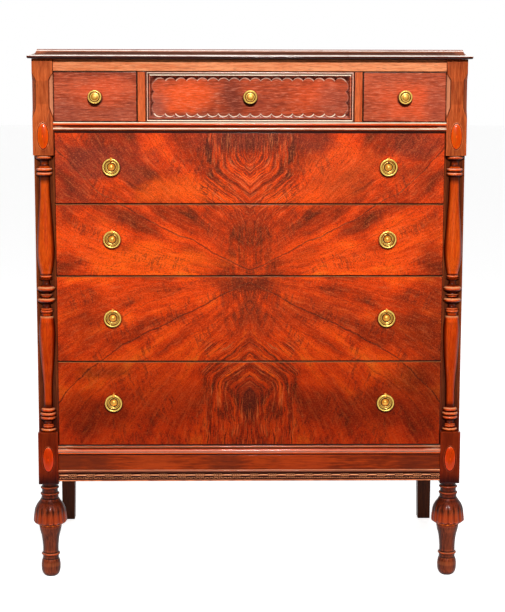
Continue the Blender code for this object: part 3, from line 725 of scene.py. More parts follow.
# The swelling members are shares of their height, from the top down, and the radius there.
BULB = (
    (0, 0.0220), (0.08, 0.0250), (0.2, 0.0308), (0.33, 0.0350), (0.43, 0.0368), (0.64, 0.0387),
    (0.8, 0.0396), (0.87, 0.0390), (0.94, 0.0335)
)
BULB_FOOT = ((1, 0.0262),)
SHANK_LINES = ((0.03, 0.0268), (0.19, 0.0250), (0.42, 0.0212), (0.75, 0.0187), (1, 0.0184))
BALL = (
    (0.02, 0.0200), (0.15, 0.0218), (0.36, 0.0229), (0.66, 0.0222), (0.84, 0.0196), (0.94, 0.0166)
)
BALL_FOOT = ((1, 0.0130),)
PETALS = 16
PETAL_GROOVE = 0.0036
PETAL_TIP = 0.0026
# Shares of the bulb's height: where the petals part and how far on they are quite apart, where
# the grooves end and over what length they fade, and the same two for the petals' tips.
PETAL_START = 0.14
PETAL_PARTING = 0.42
GROOVE_END = 1.02
GROOVE_FADE = 0.06
TIP_START = 0.72
TIP_LENGTH = 0.2
LEG_STEPS = 96
BEAD_STEPS = 9
CURVE_STEPS = 5


def through(points, steps):
    """A smooth line through a few points, with the given number of steps between each two."""
    points = [Vector(point) for point in points]
    line = [points[0]]
    ends = [2 * points[0] - points[1], *points, 2 * points[-1] - points[-2]]
    for before, start, end, after in zip(ends, ends[1:], ends[2:], ends[3:]):
        for step in range(1, steps + 1):
            share = step / steps
            away = (end - before) * 0.5
            back = (after - start) * 0.5
            line.append(
                start * (2 * share**3 - 3 * share**2 + 1)
                + away * (share**3 - 2 * share**2 + share)
                + end * (3 * share**2 - 2 * share**3)
                + back * (share**3 - share**2)
            )
    return line


def turned_lines(members, top):
    """The profile of beads, which are half round, and of necks, which are hollow between them."""
    roots = [radius - height / 2 if kind == "bead" else None for kind, height, radius in members]
    lines = []
    z = top
    for index, (kind, height, radius) in enumerate(members):
        near = [root for root in roots[max(index - 1, 0) : index + 2] if root]
        rise = (max(near) if near else radius) - radius
        for step in range(BEAD_STEPS + 1):
            share = step / BEAD_STEPS
            if kind == "bead":
                out = math.sin(math.pi * share) ** 0.8 * height / 2
                lines.append((radius - height / 2 + out, z - share * height))
            else:
                hollow = abs(2 * share - 1) ** 2.6
                lines.append((radius + max(rise, 0) * hollow, z - share * height))
        z -= height
    return lines, z


def swelling_lines(shares, top, height):
    """The profile of a swelling shape, from its radius at shares of its height."""
    points = [(radius, top - share * height) for share, radius in shares]
    return [tuple(point) for point in through(points, CURVE_STEPS)]


def turn(name, lines, place, steps):
    """Turns a profile of radii and heights about an upright axis, and closes it on the axis."""
    lines = [(0, lines[0][1]), *lines, (0, lines[-1][1])]
    curve = bpy.data.curves.new(name, "CURVE")
    curve.dimensions = "3D"
    work_on(draw(name, curve, [(radius, 0, z) for radius, z in lines]))
    bpy.ops.mesh.spin(steps=steps, angle=2 * math.pi, center=(0, 0, 0), axis=(0, 0, 1))
    bpy.ops.object.mode_set(mode="OBJECT")
    merge(bpy.context.object)
    bpy.context.object.location = place
    return name_it(name)


def petal_relief(share, around):
    """How deep the groove is at a share of the bulb's height, and at -1 to 1 across a petal."""
    start = min(max((share - PETAL_START) / PETAL_PARTING, 0), 1)
    return start * start * (3 - 2 * start) * abs(around) ** 3.5


# The legs carry painted shade down their sides and under their rounds, and pale dust with a painted
# highlight on top.
leg_wood = wood(
    "leg_mahogany",
    (84, 30, 12),
    (160, 70, 36),
    along="Z",
    rubbed=(236, 88, 26),
    rub=1.0,
    coat=0.05,
    dust=0.6,
    dust_and_sheen_colour=(236, 140, 96),
    sides=0.7,
)
bulb_foot = BLOCK_FOOT - sum(height for _, height, _ in LEG_HEAD) - BULB_HEIGHT
stain_and_shade_along(leg_wood, "Z", bulb_foot + 0.026, bulb_foot + 0.052, (214, 190, 180))
stripe(leg_wood, "Z", bulb_foot + 0.0140, 0.0240, (214, 74, 24), 0.36)
stripe(leg_wood, "Z", 0.0300, 0.0070, (226, 120, 60), 0.14)
stripe(leg_wood, "Z", bulb_foot + 0.0012, 0.0024, (255, 132, 50), 0.9)
shank_height = bulb_foot - sum(height for _, height, _ in ANKLE) - BALL_HEIGHT
for side in ("left", "right"):
    leg_x = middle_of(f"half_column_{side}").x
    lines, z = turned_lines(LEG_HEAD, BLOCK_FOOT - GAP)
    bulb_top = z
    lines += swelling_lines(BULB, z, BULB_HEIGHT)
    lines += swelling_lines(BULB[-1:] + BULB_FOOT, z, BULB_HEIGHT)
    z -= BULB_HEIGHT
    lines += swelling_lines(SHANK_LINES, z, shank_height)
    z -= shank_height
    lines += turned_lines(ANKLE, z)[0]
    lines += swelling_lines(BALL, BALL_HEIGHT, BALL_HEIGHT)
    lines += swelling_lines(BALL[-1:] + BALL_FOOT, BALL_HEIGHT, BALL_HEIGHT)
    leg = turn(f"leg_{side}", lines, (leg_x, column_axis_y, 0), LEG_STEPS)
    sunk = np.zeros(len(leg.data.vertices))
    for vertex in leg.data.vertices:
        share = (bulb_top - vertex.co.z) / BULB_HEIGHT
        if not 0 < share < 1.001:
            continue
        out = Vector((vertex.co.x - leg_x, vertex.co.y - column_axis_y))
        if out.length < BULB_FOOT[0][1] * 0.75:
            continue
        turns = (math.atan2(out.y, out.x) / (2 * math.pi) * PETALS + 0.25) % 1
        around = 2 * turns - 1
        groove = PETAL_GROOVE * petal_relief(share, around)
        groove *= min((GROOVE_END - share) / GROOVE_FADE, 1)
        sunk[vertex.index] = 1.5 * petal_relief(share, around) - 0.5 * petal_relief(share, 1)
        out *= 1 - groove / out.length
        vertex.co.x = leg_x + out.x
        vertex.co.y = column_axis_y + out.y
        tip = min(max((share - TIP_START) / TIP_LENGTH, 0), 1)
        vertex.co.z += PETAL_TIP * tip * around**2
    dress(leg, leg_wood, "case", "mahogany", f"front_post_{side}", lines=lines, sunk=sunk)


# The oval bosses, one carved in relief on the face of each block: a thin raised rim, a sunk line
# and a smooth egg-round dome, rubbed redder than the block by dusting. The dome's top carries dust
# with a painted highlight, its foot painted shade, and the lower pair is painted darker.
BOSS_WIDTH = 0.0245
BOSS_HEIGHT = 0.0590
BOSS_RISE = 0.0040
BOSS_RIM = 0.0032
UPPER_BOSS_UP = 0.0440
LOWER_BOSS_UP = 0.0600
BOSS_STEPS = 48
DOME_STEPS = 10
DOME_TIP = 0.04
BOSS_ROOT = 0.0002
RIM_STEPS = (
    # how far in, and how far out of the face
    (0.0007, 0.0006),
    (0.0009, 0.0000),
    (0.0006, -0.0007),
    (0.0016, 0.0000),
)

boss_wood = wood(
    "boss_mahogany",
    (255, 70, 0),
    (255, 102, 4),
    along="Z",
    rubbed=(255, 130, 40),
    rub=0.3,
    coat=0.25,
    dust=0.8,
)
# Painted shade: the lower bosses are darker, as less light falls there.
stain_and_shade_along(boss_wood, "Z", 0.6, 0.4, (236, 184, 150))


def extrude(x, y, z):
    """Extrudes what is selected by a distance along each axis."""
    bpy.ops.mesh.extrude_region_move(TRANSFORM_OT_translate={"value": (x, y, z)})


def start_oval(name, width, height, place):
    """An upright oval facing the front, with its face selected for the next steps."""
    bpy.ops.mesh.primitive_circle_add(vertices=BOSS_STEPS, radius=0.5, fill_type="NGON")
    oval = bpy.context.object
    oval.scale = (width, height, 1)
    oval.rotation_euler = (math.pi / 2, 0, 0)
    oval.location = place
    work_on(name_it(name))
    extrude(0, -BOSS_ROOT, 0)
    return oval


for side in ("left", "right"):
    for level, z in (
        ("upper", upper_block_foot + UPPER_BOSS_UP),
        ("lower", BLOCK_FOOT + LOWER_BOSS_UP),
    ):
        place = Vector((middle_of(f"half_column_{side}").x, post_front, z))
        rim = start_oval(
            f"boss_rim_{side}_{level}", BOSS_WIDTH + 2 * BOSS_RIM, BOSS_HEIGHT + 2 * BOSS_RIM, place
        )
        for inwards, outwards in RIM_STEPS:
            bpy.ops.mesh.inset(thickness=inwards, depth=outwards)
        bpy.ops.object.mode_set(mode="OBJECT")
        dress(rim, post_wood, "case", "mahogany", f"front_post_{side}")
        boss = start_oval(f"boss_{side}_{level}", BOSS_WIDTH, BOSS_HEIGHT, place)
        rise, width = 0.0, 1.0
        for step in range(1, DOME_STEPS + 1):
            turned = math.pi / 2 * step / DOME_STEPS
            next_rise, next_width = BOSS_RISE * math.sin(turned), max(math.cos(turned), DOME_TIP)
            extrude(0, rise - next_rise, 0)
            narrower = next_width / width
            bpy.ops.transform.resize(value=(narrower, 1, narrower), center_override=place)
            rise, width = next_rise, next_width
        bpy.ops.object.mode_set(mode="OBJECT")
        dress(boss, boss_wood, "case", "mahogany", f"front_post_{side}")


# The half columns. Each is a split turning, with beads and hollow necks round two swelling shafts,
# glued to the stile of its post. Handling has worn the swellings bright and left the necks dark.
# They also carry painted light: highlights on their tops, painted shade under them, down their
# sides and near the stile, where grime also gathers, and a lower part painted darker.
COLUMN_HEAD = (
    ("bead", 0.0097, 0.0205),
    ("neck", 0.0185, 0.0100),
    ("bead", 0.0098, 0.0196),
    ("bead", 0.0100, 0.0196),
)
COLUMN_WAIST = (
    ("bead", 0.0090, 0.0149),
    ("neck", 0.0185, 0.0088),
    ("bead", 0.0115, 0.0222),
    ("neck", 0.0090, 0.0090),
    ("bead", 0.0070, 0.0125),
    ("bead", 0.0105, 0.0216),
    ("neck", 0.0165, 0.0094),
    ("bead", 0.0095, 0.0159),
    ("neck", 0.0065, 0.0129),
)
COLUMN_FOOT = (
    ("bead", 0.0110, 0.0177),
    ("bead", 0.0090, 0.0198),
    ("bead", 0.0095, 0.0189),
    ("neck", 0.0125, 0.0106),
    ("bead", 0.0075, 0.0142),
    ("bead", 0.0080, 0.0189),
)
UPPER_SHAFT = (
    (0, 0.0124), (0.22, 0.0136), (0.53, 0.0185), (0.74, 0.0213), (0.88, 0.0193), (1, 0.0137)
)
LOWER_SHAFT = (
    (0, 0.0164), (0.19, 0.0198), (0.49, 0.0163), (0.68, 0.0127), (0.82, 0.0112), (1, 0.0112)
)
UPPER_SHAFT_SHARE = 0.513
COLUMN_STEPS = 64

column_wood = wood(
    "column_mahogany",
    (214, 62, 4),
    (255, 100, 20),
    along="Z",
    rubbed=(255, 140, 56),
    shelter=(48, 16, 8),
    rub=0.6,
    coat=0.18,
    coat_ior=1.6,
    dust=0.7,
    sides=0.9,
)
# Painted shade: darker towards the foot, as the light falls off.
stain_and_shade_along(column_wood, "Z", 0.76, 0.70, (232, 204, 170))
# Darker towards the stile: grime in the corner, and painted shade.
stain_and_shade_along(column_wood, "Y", column_axis_y - 0.0090, column_axis_y - 0.002, (120, 70, 50))
members = COLUMN_HEAD + COLUMN_WAIST + COLUMN_FOOT
shafts = column_high.z - column_low.z - sum(height for _, height, _ in members)


def saw(piece, y, waste):
    """Saws a piece through square to Y and throws away the part on the waste side, 1 or -1."""
    work_on(piece)
    bpy.ops.mesh.bisect(
        plane_co=(0, y, 0), plane_no=(0, waste, 0), use_fill=True, clear_outer=True
    )
    bpy.ops.object.mode_set(mode="OBJECT")


for side in ("left", "right"):
    lines, z = turned_lines(COLUMN_HEAD, column_high.z)
    lines += swelling_lines(UPPER_SHAFT, z, shafts * UPPER_SHAFT_SHARE)
    z -= shafts * UPPER_SHAFT_SHARE
    waist, z = turned_lines(COLUMN_WAIST, z)
    lines += waist + swelling_lines(LOWER_SHAFT, z, shafts * (1 - UPPER_SHAFT_SHARE))
    z -= shafts * (1 - UPPER_SHAFT_SHARE)
    lines += turned_lines(COLUMN_FOOT, z)[0]
    column_x = middle_of(f"half_column_{side}").x
    column = turn(f"column_{side}", lines, (column_x, column_axis_y, 0), COLUMN_STEPS)
    saw(column, column_axis_y - GAP, 1)
    dress(column, column_wood, "case", "mahogany", f"half_column_{side}", lines=lines)


# The back posts, square and plain. They stand in the shade of the case and were stained almost
# black, and below the case their two inner faces taper.
def board(node_name, name, arris=0.0006, edge=EDGE_LINE):
    """A piece of flat boards, from its CAD node's solid: faces merged and arrises eased."""
    piece = bring_in(name, frame["nodes"][node_name].data.copy())
    work_on(piece)
    bpy.ops.mesh.remove_doubles(threshold=MERGED)
    bpy.ops.mesh.customdata_custom_splitnormals_clear()
    bpy.ops.mesh.dissolve_limited(angle_limit=math.radians(0.5))
    bpy.ops.object.mode_set(mode="OBJECT")
    ease(piece, arris)
    margin(piece, edge)
    return piece


back_post_wood = wood(
    "back_post_mahogany",
    (66, 26, 6),
    (96, 42, 12),
    along="Z",
    rubbed=(110, 56, 34),
    rub=0.5,
    coat=0,
)
for side in ("left", "right"):
    post = board(f"back_post_{side}", f"rear_post_{side}", 0.0012)
    dress(post, back_post_wood, "case", "dark_mahogany", f"back_post_{side}")


# The sides, one plain board each, let in between the front and back posts, and the thin back of
# pale unfinished board, nailed into its rebates with small flat heads.
NAIL_HEAD = 0.0030
NAIL_FLATNESS = 0.4
NAIL_MARGIN = 0.0070
NAIL_PITCH = 0.105
side_wood = wood("side_mahogany", (150, 56, 26), (196, 84, 44), along="Z", fineness=0.8)
back_board = wood(
    "back_board",
    (128, 92, 58),
    (168, 128, 86),
    along="Z",
    rubbed=(190, 150, 104),
    shelter=(60, 40, 24),
    gloss=0.72,
    coat=0,
)
for side in ("left", "right"):
    panel = board(f"side_panel_{side}", f"side_board_{side}", edge=0.004)
    dress(panel, side_wood, "case", "mahogany", f"side_panel_{side}")
back = board("back_panel", "back_board")
dress(back, back_board, "case", "back_board", "back_panel")
low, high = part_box("back_panel")
low = low + Vector((NAIL_MARGIN, 0, NAIL_MARGIN))
high = high - Vector((NAIL_MARGIN, 0, NAIL_MARGIN))
width, height = high.x - low.x, high.z - low.z
across, up = round(width / NAIL_PITCH), round(height / NAIL_PITCH)
places = [(low.x + width * step / across, z) for step in range(across + 1) for z in (low.z, high.z)]
places += [(x, low.z + height * step / up) for step in range(1, up) for x in (low.x, high.x)]


def join(shapes):
    """Joins shapes into the first of them."""
    only(shapes[0])
    for shape in shapes:
        shape.select_set(True)
    bpy.ops.object.join()


nails = []
for x, z in places:
    bpy.ops.mesh.primitive_uv_sphere_add(segments=16, ring_count=8, radius=NAIL_HEAD)
    nails.append(bpy.context.object)
    nails[-1].scale = (1, NAIL_FLATNESS, 1)
    nails[-1].location = (x, high.y, z)
join(nails)
nails = name_it("back_nails")
nail_iron, tree, shader = new_material("nail_iron")
rust = noise(tree, stretched(tree, place_on(tree), 700, 700, 700), 3.0)
rust = blend(tree, span(tree, rust, 0.40, 0.62), srgb(70, 64, 60), srgb(112, 66, 42))
tree.links.new(rust, shader.inputs["Base Color"])
shader.inputs["Metallic"].default_value = 0.5
shader.inputs["Roughness"].default_value = 0.55
dress(nails, nail_iron, "case", "back_board", "back_panel")


# The frames that the drawers run on, of pale hardwood with thin dust panels. Those under the top,
# at the waist and at the base have a mahogany front edge, and the last two a moulding on it.
WAIST_MOULDING_LINES = (
    # kind, share of the height where it starts and ends, reach in front of the drawers' faces
    ("flat", 0.13, 0.16, 0.0020),
    ("round", 0.16, 0.53, 0.0068),
    ("hollow", 0.53, 0.60, 0.0030),
    ("round", 0.60, 0.98, 0.0066),
)
BASE_MOULDING_LINES = (
    ("flat", 0.17, 0.25, 0.0030),
    ("round", 0.25, 0.74, 0.0076),
    ("hollow", 0.74, 0.82, 0.0026),
    ("round", 0.82, 0.98, 0.0046),
)
WAIST_HIGHLIGHT_AND_SHADE_LINES = (
    # painted highlights and shadow lines: share of the height, half width, colour, strength
    (0.02, 0.0020, (10, 3, 1), 1.0),
    (0.15, 0.0016, (140, 56, 20), 0.9),
    (0.25, 0.0015, (210, 90, 38), 0.9),
    (0.345, 0.0016, (255, 244, 210), 1.0),
    (0.44, 0.0012, (170, 80, 42), 0.8),
    (0.58, 0.0022, (112, 42, 14), 0.9),
    (0.74, 0.0016, (226, 64, 4), 0.9),
    (0.84, 0.0014, (255, 116, 44), 0.9),
    (0.945, 0.0016, (255, 250, 222), 1.0),
)
# The base moulding's painted highlights and shadow lines, listed as above.
BASE_HIGHLIGHT_AND_SHADE_LINES = (
    (0.02, 0.0014, (40, 14, 4), 0.9),
    (0.18, 0.0026, (255, 92, 4), 0.9),
    (0.33, 0.0015, (255, 196, 170), 0.9),
    (0.50, 0.0024, (222, 132, 98), 0.8),
    (0.70, 0.0026, (104, 30, 6), 0.9),
    (0.84, 0.0016, (255, 190, 130), 1.0),
    (0.97, 0.0010, (60, 20, 10), 0.8),
)
FRIEZE_PATCHES = (
    # middle, half width, colour, strength
    (-0.400, 0.110, (92, 34, 16), 0.7),
    (-0.230, 0.070, (180, 66, 22), 0.5),
    (-0.060, 0.060, (96, 36, 16), 0.6),
    (0.120, 0.090, (176, 60, 18), 0.5),
    (0.400, 0.070, (92, 32, 14), 0.6),
)
MOULDING_RUNS = 40
MOULDING_ROOT = 0.0008
FRAME_SAW = 0.0002
RAIL_GAP = 0.001
drawer_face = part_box("long_drawer_1_front")[0].y

# The rail's edges are painted dark, as shade in the gaps and under the top, and its upward faces
# carry dust with a painted highlight.
rail_wood = wood(
    "rail_mahogany",
    (222, 116, 66),
    (255, 162, 108),
    along="X",
    rub=0.5,
    coat=0.2,
    dust=0.2,
    rim=0.9,
)
frieze_wood = wood(
    "frieze_mahogany", (112, 34, 8), (172, 60, 14), along="X", rub=0.6, coat=0.3, contrast=1.3
)
for middle, half_width, colour, amount in FRIEZE_PATCHES:
    stripe(frieze_wood, "X", middle, half_width, colour, amount)
drawer_wood = wood(
    "drawer_hardwood",
    (172, 130, 84),
    (214, 174, 122),
    along="X",
    rubbed=(226, 192, 144),
    shelter=(84, 56, 32),
    gloss=0.6,
    coat=0,
)
frame_wood = wood(
    "frame_hardwood",
    (150, 108, 66),
    (196, 152, 102),
    along="X",
    rubbed=(216, 180, 130),
    shelter=(66, 42, 24),
    gloss=0.6,
    coat=0,
)
# The frames are dark at the front: the mahogany front edges, and painted shade in the gaps between
# the drawers.
stain_and_shade_along(frame_wood, "Y", drawer_face + 0.060, drawer_face + 0.045, (52, 16, 8), kind="MIX")


def moulding_lines(parts, height):
    """The outline of a moulding, as (reach, height) from its foot up."""
    lines = []
    for kind, first, last, reach in parts:
        for step in range(BEAD_STEPS + 1):
            share = step / BEAD_STEPS
            up = (first + share * (last - first)) * height
            if kind == "round":
                depth = (last - first) * height / 2
                out = reach - depth + depth * math.sin(math.pi * share) ** 0.7
                out = max(out, MOULDING_ROOT)
            elif kind == "hollow":
                out = reach - (reach - MOULDING_ROOT) * math.sin(math.pi * share)
            else:
                out = reach
            if kind != "flat" or step in (0, BEAD_STEPS):
                lines.append((out, up))
    return lines


def run_moulding(name, lines, root, low_x, high_x, foot):
    """A moulding along X, in short runs, from its outline of (reach, height) and its root."""
    points = [(root, lines[0][1]), *[(-reach, up) for reach, up in lines], (root, lines[-1][1])]
    piece = flat_shape(name, points, 0)
    work_on(piece)
    for _ in range(MOULDING_RUNS):
        extrude(0, 0, (high_x - low_x) / MOULDING_RUNS)
    bpy.ops.object.mode_set(mode="OBJECT")
    laid_along = ((0, 0, 1, low_x), (1, 0, 0, drawer_face), (0, 1, 0, foot), (0, 0, 0, 1))
    piece.data.transform(Matrix(laid_along))
    merge(piece)
    return piece


rail_low, rail_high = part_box("base_rail")
top_frame = board("top_frame", "frame_under_top")
dress(top_frame, rail_wood, "case", "mahogany", "top_frame")
for level in ("lower", "middle", "upper"):
    dust = board(f"dust_frame_{level}", f"frame_with_dust_panel_{level}")
    dress(dust, frame_wood, "case", "drawer_wood", f"dust_frame_{level}")
for level, parts, stripes, foot, above in (
    (
        "waist",
        WAIST_MOULDING_LINES,
        WAIST_HIGHLIGHT_AND_SHADE_LINES,
        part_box("long_drawer_1_front")[1].z + RAIL_GAP,
        "small_drawer_left_front",
    ),
    ("base", BASE_MOULDING_LINES, BASE_HIGHLIGHT_AND_SHADE_LINES, rail_high.z + GAP, "long_drawer_4_front"),
):
    behind = board(f"{level}_frame", f"{level}_frame_boards")
    saw(behind, drawer_face + FRAME_SAW, -1)
    merge(behind)
    dress(behind, frame_wood, "case", "mahogany", f"{level}_frame")
    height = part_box(above)[0].z - RAIL_GAP - foot
    moulding = run_moulding(
        f"{level}_moulding", moulding_lines(parts, height), 0, rail_low.x, rail_high.x, foot
    )
    moulding_wood = wood(
        f"{level}_moulding_mahogany",
        (186, 52, 4),
        (238, 82, 10),
        along="X",
        rubbed=(255, 110, 30),
        rub=0.7,
        coat=0.5,
        gloss=0.26,
        dust=1.0,
    )
    # Painted highlights and shadow lines along the moulding's rounds, over dust with a painted
    # highlight.
    for share, half_width, colour, amount in stripes:
        stripe(moulding_wood, "Z", foot + share * height, half_width, colour, amount)
    dress(moulding, moulding_wood, "case", "mahogany", f"{level}_frame")


# The two uprights between the small drawers, and the plain rail under the long ones.
# The uprights' edges are painted dark, as shade in the gaps beside the drawers.
divider_wood = wood(
    "divider_mahogany", (170, 66, 30), (232, 110, 56), along="Z", rub=0.8, coat=0.2, rim=0.8
)
for side in ("left", "right"):
    divider = board(f"divider_{side}", f"upright_{side}")
    dress(divider, divider_wood, "case", "mahogany", f"divider_{side}")
base_rail = board("base_rail", "frieze_rail")
dress(base_rail, frieze_wood, "case", "mahogany", "base_rail")


# The carved strip along the foot of that rail: a bead above, a fillet below, and between them a
# running pattern, cut with a gouge, of long smooth beads and clusters of overlapping leaves.
STRIP_REPEATS = 21
STRIP_LINES = ((0.0034, 0), (0.0034, 0.0026), (0.0018, 0.0034), (0.0018, 0.0208), (0.0034, 0.0222))
STRIP_TOP_BEAD = 0.0043
STRIP_BEAD_REACH = 0.0018
ROW_UP = 0.0135
ROW_OUT = 0.0020
PEARL_LENGTH = 0.52
PEARL_RADIUS = 0.0023
LEAVES = 4
# A leaf's radii along the strip, out of it and up, and its place out and up; a seed's too.
LEAF = (0.0036, 0.001875, 0.00105)
LEAF_PLACE = (0.0004, 0.0016)
LEAF_SLANT = 34
SEEDS = 8
SEED = (0.0030, 0.0013, 0.0011)
SEED_PLACE = (0.0006, -0.0066)
SEED_SLANT = 32

strip_wood = wood(
    "carved_mahogany",
    (112, 34, 6),
    (172, 58, 14),
    along="X",
    rubbed=(250, 146, 92),
    shelter=(36, 10, 4),
    rub=0.8,
    coat=0.4,
    dust=0.9,
    dust_and_sheen_colour=(252, 168, 122),
)


def paint_light_and_shade(material, dark, pale):
    """Paints shade and highlights on a finish by the record of its lines, from -1 for dark to 1 for
    pale.
    """

    def change(tree, place, colour):
        uneven = noise(tree, stretched(tree, place, 190.0, 190.0, 190.0), 3.0, 0.6)
        uneven = span(tree, uneven, 0.25, 0.55, 0.6, 1.0)
        for sign, tone in ((-1, dark), (1, pale)):
            share = span(tree, recorded(tree, "line"), 0.1 * sign, 0.9 * sign)
            share = maths(tree, "MULTIPLY", share, uneven)
            colour = blend(tree, share, colour, srgb(*tone))
        return colour

    refinish(material, change)


# Painted highlights and shade on the carving.
paint_light_and_shade(strip_wood, (44, 12, 4), (255, 170, 116))
strip_low, strip_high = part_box("carved_strip")
strip_height = strip_high.z - strip_low.z
lines = list(STRIP_LINES)
for step in range(BEAD_STEPS + 1):
    share = step / BEAD_STEPS
    reach = STRIP_LINES[0][0] + STRIP_BEAD_REACH * math.sin(math.pi * share)
    lines.append((reach, strip_height - STRIP_TOP_BEAD * (1 - share)))
strip_base = run_moulding(
    "carved_strip_board", lines, -GAP, strip_low.x, strip_high.x, strip_low.z
)
pitch = (strip_high.x - strip_low.x) / STRIP_REPEATS
row_z = strip_low.z + ROW_UP
row_y = drawer_face - ROW_OUT


def egg(segments, rings, radii, slant, place):
    """A smooth egg shape, turned about Y by degrees."""
    bpy.ops.mesh.primitive_uv_sphere_add(segments=segments, ring_count=rings, radius=1)
    piece = bpy.context.object
    piece.scale = radii
    piece.rotation_euler = (0, math.radians(slant), 0)
    piece.location = place
    settle(piece)
    return piece


pearl = egg(12, 9, (PEARL_RADIUS,) * 3, 90, (0, 0, 0))
for vertex in pearl.data.vertices:
    vertex.co.x += math.copysign(pitch * PEARL_LENGTH / 2 - PEARL_RADIUS, vertex.co.x)
pattern = [pearl]
for index in range(LEAVES):
    along = pitch * (PEARL_LENGTH / 2 + (1 - PEARL_LENGTH) * (index + 0.5) / LEAVES)
    for level in (-1, 1):
        place = (along, *(level * offset for offset in LEAF_PLACE))
        pattern.append(egg(10, 7, LEAF, LEAF_SLANT * level, place))
for index in range(SEEDS):
    place = (pitch * ((index + 0.5) / SEEDS - 0.25), *SEED_PLACE)
    pattern.append(egg(8, 5, SEED, SEED_SLANT if index % 2 else -SEED_SLANT, place))
join(pattern)
repeat = pearl
repeat.location = (strip_low.x + pitch * (PEARL_LENGTH / 2 + 0.02), row_y, row_z)
settle(repeat)
copies = repeat.modifiers.new("Repeats", "ARRAY")
copies.count = STRIP_REPEATS
copies.use_relative_offset = False
copies.use_constant_offset = True
copies.constant_offset_displace = (pitch, 0, 0)
bpy.ops.object.modifier_apply(modifier="Repeats")
repeat.name = "carved_strip_pattern"
reach = np.array([drawer_face - vertex.co.y for vertex in strip_base.data.vertices])
# What stands forward is painted pale and what lies back painted dark, as highlight and shade.
record(strip_base, "line", np.clip((reach - 0.0030) * 800, -0.8, 0.3))
dress(strip_base, strip_wood, "case", "mahogany", "carved_strip")
slopes = np.array([vertex.normal.z for vertex in repeat.data.vertices])
# Faces that turn up get a painted highlight, faces that turn down painted shade.
record(repeat, "line", np.clip(2.2 * slopes + 0.1, -1, 1))
dress(repeat, strip_wood, "case", "mahogany", "carved_strip")


# The top, one board. Its front and ends are moulded: a slope and a hollow run out to a round nose.
TOP_EDGE = (
    # how far in from the nose, and at what share of the thickness down
    (0.0222, 0.00),
    (0.0216, 0.02),
    (0.0212, 0.06),
    (0.0190, 0.34),
    (0.0178, 0.42),
    (0.0152, 0.50),
    (0.0118, 0.56),
    (0.0082, 0.60),
    (0.0046, 0.62),
    (0.0044, 0.645),
    (0.0024, 0.655),
    (0.0010, 0.69),
    (0.0002, 0.76),
    (0.0000, 0.82),
    (0.0003, 0.89),
    (0.0012, 0.96),
    (0.0026, 1.00),
)
TOP_HIGHLIGHT_AND_SHADE_LINES = (
    # painted highlights and shadow lines: distance down from the upper face, half width, colour,
    # strength
    (0.0005, 0.0012, (130, 40, 20), 1.0),
    (0.0028, 0.0014, (255, 236, 224), 1.0),
    (0.0048, 0.0012, (190, 118, 84), 0.7),
    (0.0120, 0.0010, (200, 148, 128), 0.5),
    (0.0142, 0.0016, (255, 250, 240), 1.0),
    (0.0166, 0.0015, (90, 34, 12), 0.9),
    (0.0195, 0.0024, (20, 7, 4), 1.0),
)
TOP_RUNS = 24
top_wood = wood(
    "top_mahogany",
    (118, 54, 26),
    (158, 82, 46),
    along="X",
    rubbed=(196, 108, 66),
    shelter=(34, 14, 8),
    rub=0.5,
    coat=0.35,
    gloss=0.24,
)
top_low, top_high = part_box("top")
# Painted shade on the nose's underside.
stain_and_shade_along(top_wood, "Z", top_high.z - 0.0148, top_high.z - 0.0165, (150, 70, 50))
for drop, half_width, colour, amount in TOP_HIGHLIGHT_AND_SHADE_LINES:
    stripe(top_wood, "Z", top_high.z - drop, half_width, colour, amount)
half_width = (top_high.x - top_low.x) / 2
depth = top_high.y - top_low.y
inset = TOP_EDGE[0][0]
bpy.ops.mesh.primitive_plane_add(size=1)
top = bpy.context.object
top.scale = (2 * (half_width - inset), depth - inset, 1)
top.location = (0, top_high.y - (depth - inset) / 2, top_high.z)
work_on(name_it("top_board"))
bpy.ops.mesh.flip_normals()
for (inset, drop), (next_inset, next_drop) in zip(TOP_EDGE, TOP_EDGE[1:]):
    extrude(0, 0, (drop - next_drop) * (top_high.z - top_low.z))
    wider = (half_width - next_inset) / (half_width - inset)
    deeper = (depth - next_inset) / (depth - inset)
    bpy.ops.transform.resize(value=(wider, deeper, 1), center_override=(0, top_high.y, 0))
bpy.ops.object.mode_set(mode="OBJECT")
rule(top, "X", *(half_width * (2 * run / TOP_RUNS - 1) for run in range(1, TOP_RUNS)))
merge(top)
dress(top, top_wood, "case", "mahogany", "top")


# The drawers' boxes, of pale hardwood, dovetailed at their corners, with thin bottoms that slide
# into grooves. The dovetails show as a change of wood: tails with spread ends, let into the ends
# of the front, and the end grain of the back's pins between the tails of the sides.
DOVETAIL_LAP = 0.007
DOVETAIL_TIP = 0.40
DOVETAIL_ROOT = 0.28
DOVETAIL_LINE = 0.0004
BOX_BACK = 0.010
DRAWERS = ("small_drawer_left", "small_drawer_centre", "small_drawer_right") + tuple(
    f"long_drawer_{number}" for number in range(1, 5)
)


def dovetails(material, count, tip, root, colour, pins=False):
    """Tints the tails on a piece's ends, or the pins between them, from tip to root along Y."""
    line = math.copysign(DOVETAIL_LINE, root - tip)

    def share_of(tree, place):
        along = split(tree, place)["Y"]
        offset = maths(tree, "FRACT", maths(tree, "MULTIPLY", recorded(tree, "rise"), count))
        offset = maths(tree, "ABSOLUTE", maths(tree, "SUBTRACT", offset, 0.5))
        widths = (tip, root, DOVETAIL_TIP, DOVETAIL_ROOT)
        offset = maths(tree, "SUBTRACT", offset, node(tree, "ShaderNodeMapRange", along, *widths))
        share = span(tree, offset, *((0.0, 0.01) if pins else (0.01, 0.0)))
        for mask in (
            span(tree, recorded(tree, "end"), 0.90, 0.98),
            span(tree, along, tip, tip + line),
            span(tree, along, root, root - line),
        ):
            share = maths(tree, "MULTIPLY", share, mask)
        return share

    tint(material, share_of, colour)


